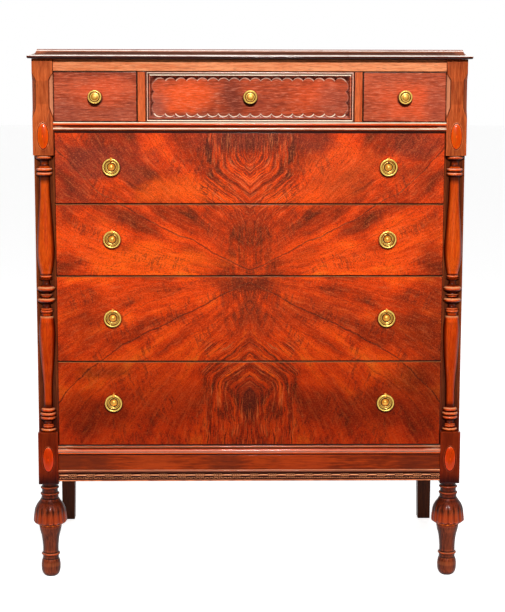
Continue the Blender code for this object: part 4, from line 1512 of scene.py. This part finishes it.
box_wood = wood(
    "box_hardwood",
    (172, 130, 84),
    (214, 174, 122),
    along="Y",
    rubbed=(226, 192, 144),
    shelter=(84, 56, 32),
    gloss=0.6,
    coat=0,
)
box_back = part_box("long_drawer_1_box")[1].y
dovetails(box_wood, 4, box_back + 0.0002, box_back - BOX_BACK, (128, 86, 50), pins=True)
for drawer in DRAWERS:
    box = board(f"{drawer}_box", f"{drawer}_sides_and_back", 0.0008)
    dress(box, box_wood, drawer, "drawer_wood", f"{drawer}_box")
    bottom = board(f"{drawer}_bottom", f"{drawer}_bottom_board", 0.0004)
    dress(bottom, drawer_wood, drawer, "drawer_wood", f"{drawer}_bottom")


# The small drawers' fronts, of plain mahogany with its grain lying along them. Light has faded
# their middles to orange, and their ends have stayed a greyer red.
SMALL_FRONT_PATCHES = (
    # place across and up, half sizes, colour, strength
    ((-0.345, 1.155), (0.075, 0.030), (232, 82, 36), 0.55),
    ((-0.430, 1.100), (0.060, 0.030), (142, 66, 50), 0.60),
    ((-0.300, 1.100), (0.070, 0.020), (150, 74, 58), 0.45),
    ((0.360, 1.130), (0.080, 0.045), (240, 86, 36), 0.60),
    ((0.430, 1.120), (0.030, 0.060), (150, 68, 50), 0.50),
    ((-0.150, 1.140), (0.060, 0.040), (255, 92, 28), 0.65),
    ((0.140, 1.140), (0.060, 0.040), (232, 84, 34), 0.50),
    ((-0.042, 1.140), (0.030, 0.050), (112, 42, 26), 0.80),
    ((0.030, 1.120), (0.040, 0.034), (150, 60, 38), 0.55),
    ((-0.215, 1.115), (0.034, 0.034), (158, 84, 68), 0.60),
    ((-0.110, 1.096), (0.110, 0.012), (124, 54, 34), 0.65),
    ((0.190, 1.130), (0.040, 0.040), (160, 76, 56), 0.55),
)
# A soft patch about a place on the front, from 0 at its rim to 1 in its middle.
patch_group, given, made = new_group(
    "faded_and_sheen_patch",
    (
        ("Vector", "NodeSocketVector", None),
        ("Centre", "NodeSocketVector", None),
        ("Size", "NodeSocketVector", None),
    ),
    ("Patch",),
)
tree = patch_group


def swayed(tree, vector, across, up, reach, roughness=0.6):
    """Noise that moves a place a little sideways and up or down."""
    sway = stretched(tree, vector, across, 1, up)
    sway = node(tree, "ShaderNodeTexNoise", sway, None, 1, 3, roughness, output=1)
    return stretched(tree, vectors(tree, "SUBTRACT", sway, (0.5, 0.5, 0.5)), reach, 0, reach)


place = vectors(tree, "SUBTRACT", given["Vector"], given["Centre"])
place = vectors(tree, "DIVIDE", place, given["Size"])
place = vectors(tree, "ADD", place, swayed(tree, given["Vector"], 16, 22, 2.0))
far = vectors(tree, "LENGTH", stretched(tree, place, 1, 0, 1), output=1)
tree.links.new(span(tree, far, 1.35, 0.25), made["Patch"])


def fade_and_sheen(tree, place, colour, patches):
    """Lays soft patches of other tones over a colour, each by its strength."""
    for (across, up), (wide, high), tone, strength in patches:
        patch = use_group(
            tree, patch_group, Vector=place, Centre=(across, 0, up), Size=(wide, 1, high)
        )
        share = maths(tree, "MULTIPLY", patch["Patch"], strength)
        colour = blend(tree, share, colour, srgb(*tone))
    return colour


def grime_and_shadow_round_brass(tree, place, colour, across, heights, radius):
    """Darkens the wood round each piece of brass, most below it: a painted shadow, with some old
    polish round it.
    """
    at = split(tree, place)
    aside = maths(tree, "SUBTRACT", maths(tree, "ABSOLUTE", at["X"]), across)
    for height in heights:
        far = node(tree, "ShaderNodeCombineXYZ", aside, maths(tree, "SUBTRACT", at["Z"], height))
        far = vectors(tree, "LENGTH", far, output=1)
        share = span(tree, far, radius * 1.22, radius * 0.92, 0, 0.85)
        colour = blend(tree, share, colour, srgb(34, 10, 6))
    return colour


knob_middle = middle_of("knob_right")
knob_radius = knob_middle.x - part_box("knob_right")[0].x
front_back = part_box("small_drawer_left_front")[1].y


def polish_and_knob_shadow(material, knob_x):
    """Fades a small front in patches, speckles it and paints the knob's shadow round and below it.
    """

    def change(tree, place, colour):
        colour = fade_and_sheen(tree, place, colour, SMALL_FRONT_PATCHES)
        mottled = noise(tree, stretched(tree, place, 60.0, 1.0, 560.0), 3.0, 0.7)
        colour = blend(tree, span(tree, mottled, 0.48, 0.32, 0, 0.45), colour, srgb(84, 32, 22))
        colour = blend(tree, span(tree, mottled, 0.50, 0.74, 0, 0.45), colour, srgb(255, 160, 124))
        return grime_and_shadow_round_brass(tree, place, colour, knob_x, (knob_middle.z - 0.0040,), knob_radius * 1.06)

    refinish(material, change)


def front_dovetails(material, count):
    """The half-blind dovetails on the ends of a front."""
    tip = drawer_face + DOVETAIL_LAP
    dovetails(material, count, tip, front_back + 0.0005, (200, 156, 104))


# The fronts' edges carry painted shade, as in the gaps, and their upward faces dust with a painted
# highlight.
small_front_wood = wood(
    "small_front_mahogany",
    (146, 54, 28),
    (208, 92, 56),
    along="X",
    rub=0.5,
    coat=0.2,
    dust=0.4,
    rim=0.9,
)
# Painted shade in the gaps, with some grime, on the front's edges.
stain_and_shade_along(small_front_wood, "Y", drawer_face + 0.0003, drawer_face + 0.0012, (50, 28, 24))
polish_and_knob_shadow(small_front_wood, knob_middle.x)
front_dovetails(small_front_wood, 3)
for side in ("left", "right"):
    front = board(f"small_drawer_{side}_front", f"small_front_{side}", 0.0010)
    dress(
        front, small_front_wood, f"small_drawer_{side}", "mahogany", f"small_drawer_{side}_front"
    )


# The middle small drawer's front. A moulding frames its sunk field, and the moulding's inner edge
# is cut with a gouge into a row of scallops that slope down to the field. The cuts and arrises
# carry painted shade where a face turns down and painted highlights where it turns up, and the
# front's edges are painted dark as shade in the gaps.
FIELD_MARGINS = (0.0120, 0.0130, 0.0120)
SCALLOP_PITCH = 0.0256
SCALLOP_DEPTH = 0.0066
SCALLOP_STEPS = 10
FRONT_RINGS = (
    # margin from the front's edge, depth behind the face, and how pale its painted highlight is, or
    # how dark its painted shade if it is below 0, at the foot, the ends and the top
    (0.0000, 0.0200, -1.0, -1.0, -1.0),
    (0.0000, 0.0010, -1.0, -1.0, -1.0),
    (0.0004, 0.0003, -0.5, -0.5, -0.6),
    (0.0014, 0.0000, 0.9, 0.5, 0.5),
    (0.0032, 0.0000, 1.0, 0.5, 0.6),
    (0.0038, 0.0005, -0.5, -0.7, -0.7),
    (0.0044, 0.0014, -0.8, -0.9, -0.9),
    (0.0056, 0.0014, -0.6, -0.7, -0.7),
    (0.0062, 0.0006, 0.0, 0.1, 0.8),
    (0.0068, 0.0001, 0.1, 0.3, 1.0),
    (0.0082, 0.0001, 0.1, 0.2, 1.0),
    (0.0088, 0.0006, 0.0, -0.4, -0.5),
)
SCALLOP_RINGS = (
    # how far outside the field's edge, and then as above
    (0.0028, 0.0009, -0.4, -0.8, -1.0),
    (0.0018, 0.0010, 0.3, -0.6, -0.9),
    (0.0009, 0.0026, 1.0, -0.5, -0.7),
    (0.0000, 0.0040, 0.5, 0.2, 0.4),
    (-0.0012, 0.0040, -0.3, 0.3, 0.5),
    (-0.0024, 0.0040, 0.0, 0.0, 0.0),
)
centre_wood = wood(
    "centre_front_mahogany",
    (140, 50, 22),
    (214, 84, 42),
    along="X",
    rubbed=(255, 190, 140),
    shelter=(60, 18, 10),
    rub=0.3,
    grime=0.5,
    coat=0.2,
)
# Painted shade in the gaps on the front's edges.
stain_and_shade_along(centre_wood, "Y", drawer_face + 0.0058, drawer_face + 0.0070, (60, 40, 36))
polish_and_knob_shadow(centre_wood, 0.0)
# Painted highlights and shade on the scallops and border, from their line records.
paint_light_and_shade(centre_wood, (52, 14, 6), (255, 236, 208))
front_dovetails(centre_wood, 3)


def scallop_ring(margins, bulge, low, high):
    """A ring of points in from a front's ends, top and foot, which bulges within each scallop.

    Each point has the number of its side: 0 for the foot, 1 and 3 for the ends, 2 for the top."""
    end, top, foot = margins
    field_end, field_top, field_foot = FIELD_MARGINS
    counts = (
        round((high.x - low.x - 2 * field_end) / SCALLOP_PITCH),
        round((high.z - low.z - field_top - field_foot) / SCALLOP_PITCH),
    )
    corners = (
        Vector((low.x + end, low.y, low.z + foot)),
        Vector((high.x - end, low.y, low.z + foot)),
        Vector((high.x - end, low.y, high.z - top)),
        Vector((low.x + end, low.y, high.z - top)),
    )
    ring = []
    for side, (start, stop) in enumerate(zip(corners, corners[1:] + corners[:1])):
        along = (stop - start).normalized()
        outward = Vector((along.z, 0, -along.x))
        steps = counts[side % 2] * SCALLOP_STEPS
        for step in range(steps):
            arc = math.sin(math.pi * (step % SCALLOP_STEPS) / SCALLOP_STEPS) ** 0.7
            ring.append((side, start.lerp(stop, step / steps) + outward * bulge * arc))
    return ring


low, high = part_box("small_drawer_centre_front")
rings = [((margin_in,) * 3, 0, *form) for margin_in, *form in FRONT_RINGS]
for outside, *form in SCALLOP_RINGS:
    cusps = [margin_in + SCALLOP_DEPTH - outside for margin_in in FIELD_MARGINS]
    rings.append((cusps, SCALLOP_DEPTH, *form))
shape = bmesh.new()
line_layer = shape.verts.layers.float.new("line")
corners = []
for margins, bulge, depth_in, foot_tone, end_tone, top_tone in rings:
    corners.append([])
    for side, point in scallop_ring(margins, bulge, low, high):
        corner = shape.verts.new(point + Vector((0, depth_in, 0)))
        corner[line_layer] = (foot_tone, end_tone, top_tone, end_tone)[side]
        corners[-1].append(corner)
for ring, next_ring in zip(corners, corners[1:]):
    for index in range(len(ring)):
        after = (index + 1) % len(ring)
        shape.faces.new((ring[index], ring[after], next_ring[after], next_ring[index]))
shape.faces.new(corners[-1])
shape.faces.new(corners[0])
mesh = bpy.data.meshes.new("small_front_centre")
shape.to_mesh(mesh)
shape.free()
centre_front = bring_in("small_front_centre", mesh)
merge(centre_front)
dress(
    centre_front, centre_wood, "small_drawer_centre", "mahogany", "small_drawer_centre_front"
)


# The long drawers' fronts, of mahogany with a face of crotch veneer. The sheets are matched in
# fours: mirrored left and right of the middle, and above and below the joint between the second
# and third drawers. Wings of figure fan out from the middle, with a plume above and below.
FAN_CENTRE = (-0.05, -0.01)
FAN_BEND = 1.2
FAN_LINE = 0.456
PLUME_LEVEL = 0.283
PLUME_FALL = 1.27
PLUME_SLANT = 0.80
VENEER_THICKNESS = 0.0012
ARRIS_HIGHLIGHT_BELOW = 1.03
LOWER_SHADE = (0.74, 0.36)
FIGURE_LINES = (
    # level of the wing's dark line, half width, strength
    (0.000, 0.0015, 0.80),
    (0.052, 0.0009, 0.35),
    (-0.060, 0.0009, 0.30),
)
# Faded and darker patches of the veneer. The dull greyish ones near the top of the first drawer are
# a painted sheen.
FADED_AND_SHEEN_PATCHES = (
    # place across and up, half sizes, colour, strength
    ((-0.170, 0.925), (0.120, 0.034), (255, 92, 10), 0.75),
    ((0.150, 0.915), (0.120, 0.030), (250, 84, 12), 0.60),
    ((0.215, 0.975), (0.110, 0.050), (240, 84, 22), 0.55),
    ((-0.225, 0.765), (0.160, 0.034), (255, 92, 8), 0.85),
    ((0.225, 0.770), (0.160, 0.036), (250, 80, 10), 0.60),
    ((-0.390, 0.815), (0.080, 0.045), (240, 76, 14), 0.50),
    ((0.380, 0.840), (0.080, 0.040), (246, 80, 12), 0.50),
    ((-0.250, 0.680), (0.160, 0.026), (238, 70, 6), 0.55),
    ((-0.370, 0.995), (0.130, 0.050), (118, 46, 34), 0.80),
    ((-0.270, 0.965), (0.060, 0.026), (150, 56, 30), 0.40),
    ((-0.410, 0.915), (0.060, 0.034), (116, 40, 26), 0.65),
    ((0.000, 1.040), (0.150, 0.030), (96, 38, 30), 0.75),
    ((0.150, 1.035), (0.060, 0.030), (130, 50, 32), 0.60),
    ((0.390, 1.030), (0.080, 0.036), (122, 46, 30), 0.65),
    ((0.370, 0.965), (0.060, 0.024), (136, 42, 16), 0.60),
    ((-0.300, 0.860), (0.080, 0.020), (150, 46, 18), 0.55),
    ((0.000, 0.870), (0.060, 0.030), (160, 46, 16), 0.45),
    ((0.000, 0.710), (0.110, 0.026), (96, 26, 12), 0.70),
    ((-0.090, 0.800), (0.050, 0.050), (226, 62, 8), 0.50),
    ((0.080, 0.800), (0.050, 0.050), (220, 62, 10), 0.45),
    ((0.150, 0.650), (0.140, 0.045), (160, 46, 14), 0.60),
    ((0.370, 0.600), (0.110, 0.045), (140, 38, 8), 0.70),
    ((-0.390, 0.610), (0.080, 0.050), (160, 46, 10), 0.50),
    ((0.000, 0.600), (0.060, 0.060), (170, 50, 16), 0.45),
    ((-0.350, 0.500), (0.090, 0.022), (126, 38, 12), 0.65),
    ((0.380, 0.480), (0.070, 0.040), (116, 34, 10), 0.70),
    ((0.270, 0.410), (0.220, 0.060), (150, 42, 8), 0.65),
    ((-0.350, 0.400), (0.110, 0.050), (150, 44, 8), 0.60),
    ((-0.200, 0.440), (0.120, 0.060), (214, 64, 8), 0.75),
    ((0.000, 0.440), (0.036, 0.050), (84, 34, 28), 0.75),
    ((0.440, 0.560), (0.070, 0.280), (110, 32, 8), 0.55),
)


def ramp(tree, value, *stops):
    """Colours a value by stops of its place and colour."""
    made = node(tree, "ShaderNodeValToRGB", value).node
    points = made.color_ramp.elements
    while len(points) < len(stops):
        points.new(1)
    for point, (place, colour) in zip(points, stops):
        point.position = place
        point.color = srgb(*colour)
    return made.outputs[0]


def blend_value(tree, share, first, second):
    return node(tree, "ShaderNodeMix", share, None, first, second)


# The figure of the veneer. Wings of long strands fan out from the middle, plumes of upright ones
# stand above and below with pointed feet, and a rippled spine lies between the plumes.
veneer_group, given, made = new_group(
    "matched_crotch_figure",
    (("Vector", "NodeSocketVector", None), ("Joint", "NodeSocketFloat", 0.725)),
    ("Level", "Plume", "Spine", "Broad", "Clouds", "Strands", "Fine", "Threads", "Comb"),
)
tree = veneer_group


def along_figure(tree, level, fineness, along, stretch):
    """A place for noise that is fine across the figure's levels and long along them."""
    return node(
        tree,
        "ShaderNodeCombineXYZ",
        maths(tree, "MULTIPLY", level, fineness),
        maths(tree, "MULTIPLY", along, stretch),
        sheet,
    )


place = split(tree, given["Vector"])
above = maths(tree, "SUBTRACT", place["Z"], given["Joint"])
sheet = maths(tree, "MULTIPLY", maths(tree, "SIGN", above), 0.35)
folded = node(
    tree,
    "ShaderNodeCombineXYZ",
    maths(tree, "ABSOLUTE", place["X"]),
    sheet,
    maths(tree, "ABSOLUTE", above),
)
for vector, fineness, reach in (
    (folded, 16.0, 0.016),
    (folded, 60.0, 0.004),
    (given["Vector"], 9.0, 0.014),
):
    sway = swayed(tree, vector, fineness, fineness, reach, 0.55)
    folded = vectors(tree, "ADD", folded, sway)
across, _, away = split(tree, folded)
spoke = node(
    tree,
    "ShaderNodeCombineXYZ",
    maths(tree, "SUBTRACT", across, FAN_CENTRE[0]),
    maths(tree, "SUBTRACT", away, FAN_CENTRE[1]),
)
out = vectors(tree, "LENGTH", spoke, output=1)
spoke = split(tree, spoke)
bend = maths(tree, "MAXIMUM", maths(tree, "SUBTRACT", out, 0.30), 0.0)
bend = maths(tree, "MULTIPLY", maths(tree, "MULTIPLY", bend, bend), FAN_BEND)
fan = maths(tree, "SUBTRACT", maths(tree, "ARCTAN2", spoke["Y"], spoke["X"]), bend)
upright = maths(tree, "MULTIPLY_ADD", across, -PLUME_FALL, PLUME_LEVEL)
pointed = maths(tree, "MULTIPLY_ADD", across, -PLUME_SLANT, away)
plume_level = maths(tree, "SMOOTH_MIN", pointed, upright, 0.02)
ragged = noise(tree, stretched(tree, folded, 26.0, 1.0, 34.0), 3.0, 0.65)
rim = maths(tree, "MULTIPLY_ADD", ragged, 0.09, maths(tree, "SUBTRACT", across, 0.045))
plume = maths(tree, "MULTIPLY", span(tree, rim, 0.128, 0.098), span(tree, away, 0.115, 0.175))
spine = maths(tree, "MULTIPLY", span(tree, rim, 0.105, 0.040), span(tree, away, 0.165, 0.095))
level = maths(tree, "MULTIPLY", maths(tree, "SUBTRACT", fan, FAN_LINE), out)
tree.links.new(level, made["Level"])
tree.links.new(plume, made["Plume"])
tree.links.new(spine, made["Spine"])
tree.links.new(noise(tree, along_figure(tree, fan, 7.0, out, 4.0), 4.0, 0.52), made["Broad"])
clouds = stretched(tree, folded, 10.0, 1.0, 14.0)
tree.links.new(noise(tree, clouds, 5.0, 0.62), made["Clouds"])
strands = blend_value(
    tree,
    plume,
    noise(tree, along_figure(tree, fan, 26.0, out, 8.0), 3.0, 0.5),
    noise(tree, along_figure(tree, plume_level, 74.0, away, 9.0), 4.0, 0.62),
)
ripples = along_figure(tree, across, 110.0, away, 24.0)
strands = blend_value(tree, spine, strands, noise(tree, ripples, 4.0, 0.62))
tree.links.new(strands, made["Strands"])
fine = blend_value(
    tree,
    plume,
    noise(tree, along_figure(tree, fan, 110.0, out, 24.0), 2.0, 0.5),
    noise(tree, along_figure(tree, plume_level, 250.0, away, 26.0), 3.0, 0.6),
)
tree.links.new(fine, made["Fine"])
threads = noise(tree, along_figure(tree, plume_level, 120.0, away, 12.0), 2.0, 0.6)
threads = maths(tree, "ABSOLUTE", maths(tree, "SUBTRACT", threads, 0.5))
threads = maths(tree, "MULTIPLY", span(tree, threads, 0.036, 0.006), plume)
tree.links.new(threads, made["Threads"])
slanted = maths(tree, "MULTIPLY_ADD", away, 0.30, across)
comb = noise(tree, along_figure(tree, slanted, 170.0, away, 34.0), 3.0, 0.6)
where = noise(tree, along_figure(tree, fan, 9.0, out, 12.0), 3.0)
where = maths(tree, "MULTIPLY_ADD", spine, 0.10, where)
comb = maths(tree, "MULTIPLY", span(tree, comb, 0.48, 0.60), span(tree, where, 0.50, 0.62))
tree.links.new(comb, made["Comb"])

veneer = wood(
    "crotch_veneer", (150, 44, 12), (206, 70, 24), along="X", rubbed=(255, 150, 84), coat=0.25
)
tree = veneer.node_tree
shader = tree.nodes["Principled BSDF"]
solid = shader.inputs["Base Color"].links[0].from_socket
place = place_on(tree)
joint = (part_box("long_drawer_2_front")[0].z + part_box("long_drawer_3_front")[1].z) / 2
figure = use_group(tree, veneer_group, Vector=place, Joint=joint)
plume, spine = figure["Plume"], figure["Spine"]
tone = 0.58
for share, everywhere, in_plume, in_spine in (
    (figure["Broad"], 1.60, -1.00, -1.00),
    (figure["Clouds"], 1.10, -0.60, -0.40),
    (figure["Strands"], 0.30, 1.60, 0.90),
):
    weight = maths(tree, "MULTIPLY_ADD", plume, in_plume, everywhere)
    weight = maths(tree, "MULTIPLY_ADD", spine, in_spine, weight)
    tone = maths(tree, "MULTIPLY_ADD", maths(tree, "SUBTRACT", share, 0.5), weight, tone)
tone = maths(tree, "MULTIPLY_ADD", spine, -0.16, tone)
tone = maths(tree, "MULTIPLY_ADD", plume, -0.06, tone)
tone = maths(tree, "MINIMUM", maths(tree, "MAXIMUM", tone, 0.0), 1.0)
colour = ramp(
    tree,
    tone,
    (0.00, (66, 20, 8)),
    (0.20, (110, 34, 10)),
    (0.42, (176, 46, 6)),
    (0.60, (226, 62, 4)),
    (0.80, (255, 84, 8)),
    (1.00, (255, 112, 24)),
)
colour = fade_and_sheen(tree, place, colour, FADED_AND_SHEEN_PATCHES)
mottled = noise(tree, stretched(tree, place, 340.0, 1.0, 520.0), 2.0, 0.7)
marks = maths(tree, "MULTIPLY_ADD", plume, 0.30, 0.20)
marks = maths(tree, "MULTIPLY", span(tree, figure["Fine"], 0.50, 0.34), marks)
marks = maths(tree, "MULTIPLY_ADD", span(tree, mottled, 0.48, 0.34), 0.55, marks)
marks = maths(tree, "MULTIPLY_ADD", figure["Threads"], 0.85, marks)
marks = maths(tree, "MULTIPLY_ADD", figure["Comb"], 0.42, marks)
shaky = maths(tree, "SUBTRACT", figure["Fine"], 0.5)
shaky = maths(tree, "MULTIPLY_ADD", shaky, 0.004, figure["Level"])
for line_level, half_width, strength in FIGURE_LINES:
    gap = maths(tree, "ABSOLUTE", maths(tree, "SUBTRACT", shaky, line_level))
    line = span(tree, gap, half_width * 1.6, half_width * 0.3)
    marks = maths(tree, "MULTIPLY_ADD", line, strength, marks)
colour = blend(tree, maths(tree, "MINIMUM", marks, 0.85), colour, srgb(88, 34, 20))
lights = maths(tree, "MULTIPLY_ADD", plume, 0.35, 0.15)
lights = maths(tree, "MULTIPLY", span(tree, figure["Fine"], 0.54, 0.70), lights)
lights = maths(tree, "MULTIPLY_ADD", span(tree, mottled, 0.50, 0.74), 0.34, lights)
colour = blend(tree, lights, colour, srgb(255, 136, 76))
front = split(tree, place)
# Darker towards the bottom: partly painted shade as the light falls off, partly less fading than
# above.
lower = span(tree, front["Z"], *LOWER_SHADE)
colour = blend(tree, lower, colour, srgb(190, 172, 150), "MULTIPLY")
# Painted shade along the front's outer edges, where the gaps lie in shadow.
painted_edge_shade = span(tree, recorded(tree, "rim"), 0.60, 0.95, 0, 0.9)
colour = blend(tree, painted_edge_shade, colour, srgb(50, 18, 8))
# A painted highlight on the arrises that face up, left off the first drawer's top, which lies in
# the moulding's shadow.
pale = span(tree, recorded(tree, "upward"), 0.20, 0.60, 0, 0.7)
below = span(tree, front["Z"], ARRIS_HIGHLIGHT_BELOW, ARRIS_HIGHLIGHT_BELOW - 0.02)
colour = blend(tree, maths(tree, "MULTIPLY", pale, below), colour, srgb(255, 150, 84))
glue_line = drawer_face + VENEER_THICKNESS
is_face = span(tree, front["Y"], glue_line, glue_line - 0.0002)
colour = blend(tree, is_face, solid, colour)
rings = [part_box(f"pull_{number}_right_ring") for number in range(1, 5)]
ring_x = (rings[0][0].x + rings[0][1].x) / 2
ring_radius = (rings[0][1].x - rings[0][0].x) / 2
ring_heights = [(low.z + high.z) / 2 - 0.0030 for low, high in rings]
# A painted shadow round each ring, most below it.
colour = grime_and_shadow_round_brass(tree, place, colour, ring_x, ring_heights, ring_radius * 1.02)
tree.links.new(colour, shader.inputs["Base Color"])
# Painted shade in the gaps, with some grime, on the front's edges.
stain_and_shade_along(veneer, "Y", drawer_face + 0.0003, drawer_face + 0.0012, (50, 28, 24))
front_dovetails(veneer, 5)
for number in range(1, 5):
    front = board(f"long_drawer_{number}_front", f"long_front_{number}", 0.0010)
    dress(front, veneer, f"long_drawer_{number}", "figured_veneer", f"long_drawer_{number}_front")


# The three knobs of turned brass on the small drawers. Each has a thin rolled rim, a groove inside
# it and a low dome, and flares from a slim stem.
KNOB_LINES = (
    # share of the radius, share of the reach, and how pale it is with a painted highlight, or how
    # dark if below 0, with patina and painted shade
    (0.10, 1.000, 0.5),
    (0.30, 0.985, 0.3),
    (0.42, 0.968, 0.0),
    (0.47, 0.950, -0.8),
    (0.53, 0.955, 0.8),
    (0.60, 0.930, 0.7),
    (0.67, 0.880, -0.6),
    (0.72, 0.862, -1.0),
    (0.76, 0.868, -0.9),
    (0.80, 0.900, 0.4),
    (0.86, 0.918, 1.0),
    (0.92, 0.908, 1.0),
    (0.97, 0.870, 0.8),
    (1.00, 0.815, 0.2),
    (0.995, 0.760, -0.4),
    (0.94, 0.710, -0.8),
    (0.82, 0.655, -0.8),
    (0.68, 0.605, -0.8),
    (0.52, 0.550, -0.8),
    (0.41, 0.490, -0.8),
    (0.36, 0.420, -0.6),
    (0.355, 0.300, -0.6),
    (0.37, 0.180, -0.6),
    (0.45, 0.130, -0.6),
    (0.56, 0.105, -0.4),
    (0.577, 0.060, -0.4),
    (0.577, 0.015, -1.0),
)
KNOB_STEPS = 96

brass, tree, shader = new_material("aged_brass")
place = place_on(tree)
relief = recorded(tree, "relief")
wear = use_group(tree, wear_and_painted_light_group, Vector=place, Relief=relief, Rub=1.0, Grime=1.0)
cloudy = noise(tree, stretched(tree, place, 130, 130, 130), 3.0, 0.6)
colour = blend(tree, span(tree, cloudy, 0.35, 0.65), srgb(255, 156, 40), srgb(255, 194, 78))
colour = blend(tree, wear["Rubbed"], colour, srgb(255, 240, 170))
colour = blend(tree, wear["Sheltered"], colour, srgb(70, 30, 4))
tree.links.new(colour, shader.inputs["Base Color"])
# Painted highlights and shade on the brass, from its line records.
paint_light_and_shade(brass, (92, 38, 4), (255, 226, 112))
rough = maths(tree, "MULTIPLY_ADD", cloudy, 0.24, 0.18)
rough = maths(tree, "MULTIPLY_ADD", wear["Sheltered"], 0.35, rough)
tree.links.new(rough, shader.inputs["Roughness"])
dimples = noise(tree, stretched(tree, place, 900, 900, 900), 2.0)
tree.links.new(node(tree, "ShaderNodeBump", 0.12, 0.0002, None, dimples), shader.inputs["Normal"])
shader.inputs["Metallic"].default_value = 0.45


def record_lines(piece, lines):
    """Records the painted highlight or shade of a turned piece, from the nearest point of its
    profile.
    """
    places = np.array([(math.hypot(v.co.x, v.co.y), v.co.z) for v in piece.data.vertices])
    profile = np.array([line[:2] for line in lines])
    nearest = np.abs(places[:, None] - profile[None]).sum(axis=2).argmin(axis=1)
    record(piece, "line", np.array([line[2] for line in lines])[nearest])


def lay_forward(piece, place):
    """Turns a piece that was made upright to face the front, and moves it to its place."""
    piece.rotation_euler = (math.pi / 2, 0, 0)
    piece.location = place
    settle(piece)


for side in ("left", "centre", "right"):
    low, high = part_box(f"knob_{side}")
    middle = middle_of(f"knob_{side}")
    reach = high.y - low.y + GAP
    lines = [(knob_radius * out, reach * up, tone) for out, up, tone in KNOB_LINES]
    knob = turn(f"brass_knob_{side}", [line[:2] for line in lines], (0, 0, 0), KNOB_STEPS)
    record_lines(knob, lines)
    lay_forward(knob, (middle.x, high.y + GAP, middle.z))
    dress(knob, brass, f"small_drawer_{side}", "brass", f"knob_{side}")


# The eight ring pulls of cast brass. A round plate, domed in the middle with a groove and a rolled
# rim, has a tongue above it with a peaked eye, and the ring hangs in the eye.
PLATE_LINES = (
    # radius, reach, and how pale it is with a painted highlight, or how dark with patina and
    # painted shade
    (0.0010, 0.00720, 0.5),
    (0.0030, 0.00695, 0.3),
    (0.0050, 0.00610, 0.1),
    (0.0068, 0.00480, -0.1),
    (0.0081, 0.00330, -0.4),
    (0.0089, 0.00210, -0.9),
    (0.0093, 0.00135, -1.0),
    (0.0098, 0.00115, -0.8),
    (0.0106, 0.00120, 0.2),
    (0.0112, 0.00155, 0.8),
    (0.0118, 0.00165, 0.8),
    (0.0124, 0.00140, -0.2),
    (0.0129, 0.00105, -1.0),
    (0.0134, 0.00120, -0.6),
    (0.0139, 0.00180, 0.4),
    (0.0145, 0.00200, 0.8),
    (0.0149, 0.00185, 0.4),
    (0.0152, 0.00130, -0.6),
    (0.0152, 0.00030, -1.0),
)
RING_RADIUS = 0.0182
RING_WIRE = 0.0019
EYE_REACH = 0.0095
EYE_RING = 0.0035
EYE_WIRE = 0.00085
EYE_WIDTH = 0.0044
EYE_PEAK = 0.0005
SHANK_RADIUS = 0.0026
SHANK_ROOT = 0.0008
TONGUE_THICKNESS = 0.0016
TONGUE_OUTLINE = (
    # across, up from the plate's middle
    (0.0030, 0.0130),
    (0.0030, 0.0185),
    (0.0026, 0.0202),
    (0.0015, 0.0214),
    (0.0000, 0.0222),
    (-0.0015, 0.0214),
    (-0.0026, 0.0202),
    (-0.0030, 0.0185),
    (-0.0030, 0.0130),
)

shank_length = EYE_REACH - EYE_RING - SHANK_ROOT
for number in range(1, 5):
    for side in ("left", "right"):
        middle = middle_of(f"pull_{number}_{side}_ring")
        hinge = Vector((middle.x, drawer_face - EYE_REACH, middle.z + RING_RADIUS))
        plate = turn(
            f"plate_{number}_{side}", [line[:2] for line in PLATE_LINES], (0, 0, 0), KNOB_STEPS
        )
        record_lines(plate, PLATE_LINES)
        lay_forward(plate, (middle.x, drawer_face, middle.z))
        tongue = flat_shape("tongue", TONGUE_OUTLINE, TONGUE_THICKNESS)
        ease(tongue, 0.0003, 2)
        lay_forward(tongue, (middle.x, drawer_face - GAP - TONGUE_THICKNESS / 2, middle.z))
        bpy.ops.mesh.primitive_cylinder_add(vertices=32, radius=SHANK_RADIUS, depth=shank_length)
        bpy.context.object.rotation_euler = (math.pi / 2, 0, 0)
        bpy.context.object.location = hinge + Vector((0, EYE_RING + shank_length / 2, 0))
        shank = name_it("shank")
        bpy.ops.mesh.primitive_torus_add(
            major_radius=EYE_RING, minor_radius=EYE_WIRE, major_segments=48, minor_segments=16
        )
        bpy.context.object.scale = (1, 1, EYE_WIDTH / 2 / EYE_WIRE)
        bpy.context.object.rotation_euler = (0, math.pi / 2, 0)
        bpy.context.object.location = hinge
        eye = name_it("eye")
        for vertex in eye.data.vertices:
            up = vertex.co.z - hinge.z
            sideways = abs(vertex.co.x - hinge.x) / (EYE_WIDTH / 2)
            if up > EYE_RING:
                vertex.co.z += EYE_PEAK * (1 - sideways) * (up - EYE_RING) / EYE_WIRE
        join([plate, tongue, shank, eye])
        dress(plate, brass, f"long_drawer_{number}", "brass", f"pull_{number}_{side}_plate")
        bpy.ops.mesh.primitive_torus_add(
            major_radius=RING_RADIUS, minor_radius=RING_WIRE, major_segments=96, minor_segments=20
        )
        bpy.context.object.rotation_euler = (math.pi / 2, 0, 0)
        bpy.context.object.location = (hinge.x, hinge.y, middle.z)
        ring = name_it(f"ring_{number}_{side}_wire")
        facing = np.array([abs(vertex.normal.y) for vertex in ring.data.vertices])
        # A painted highlight on the ring's front and painted shade on its flanks.
        record(ring, "line", 1.6 * facing - 0.6)
        dress(ring, brass, f"ring_{number}_{side}", "brass", f"pull_{number}_{side}_ring")
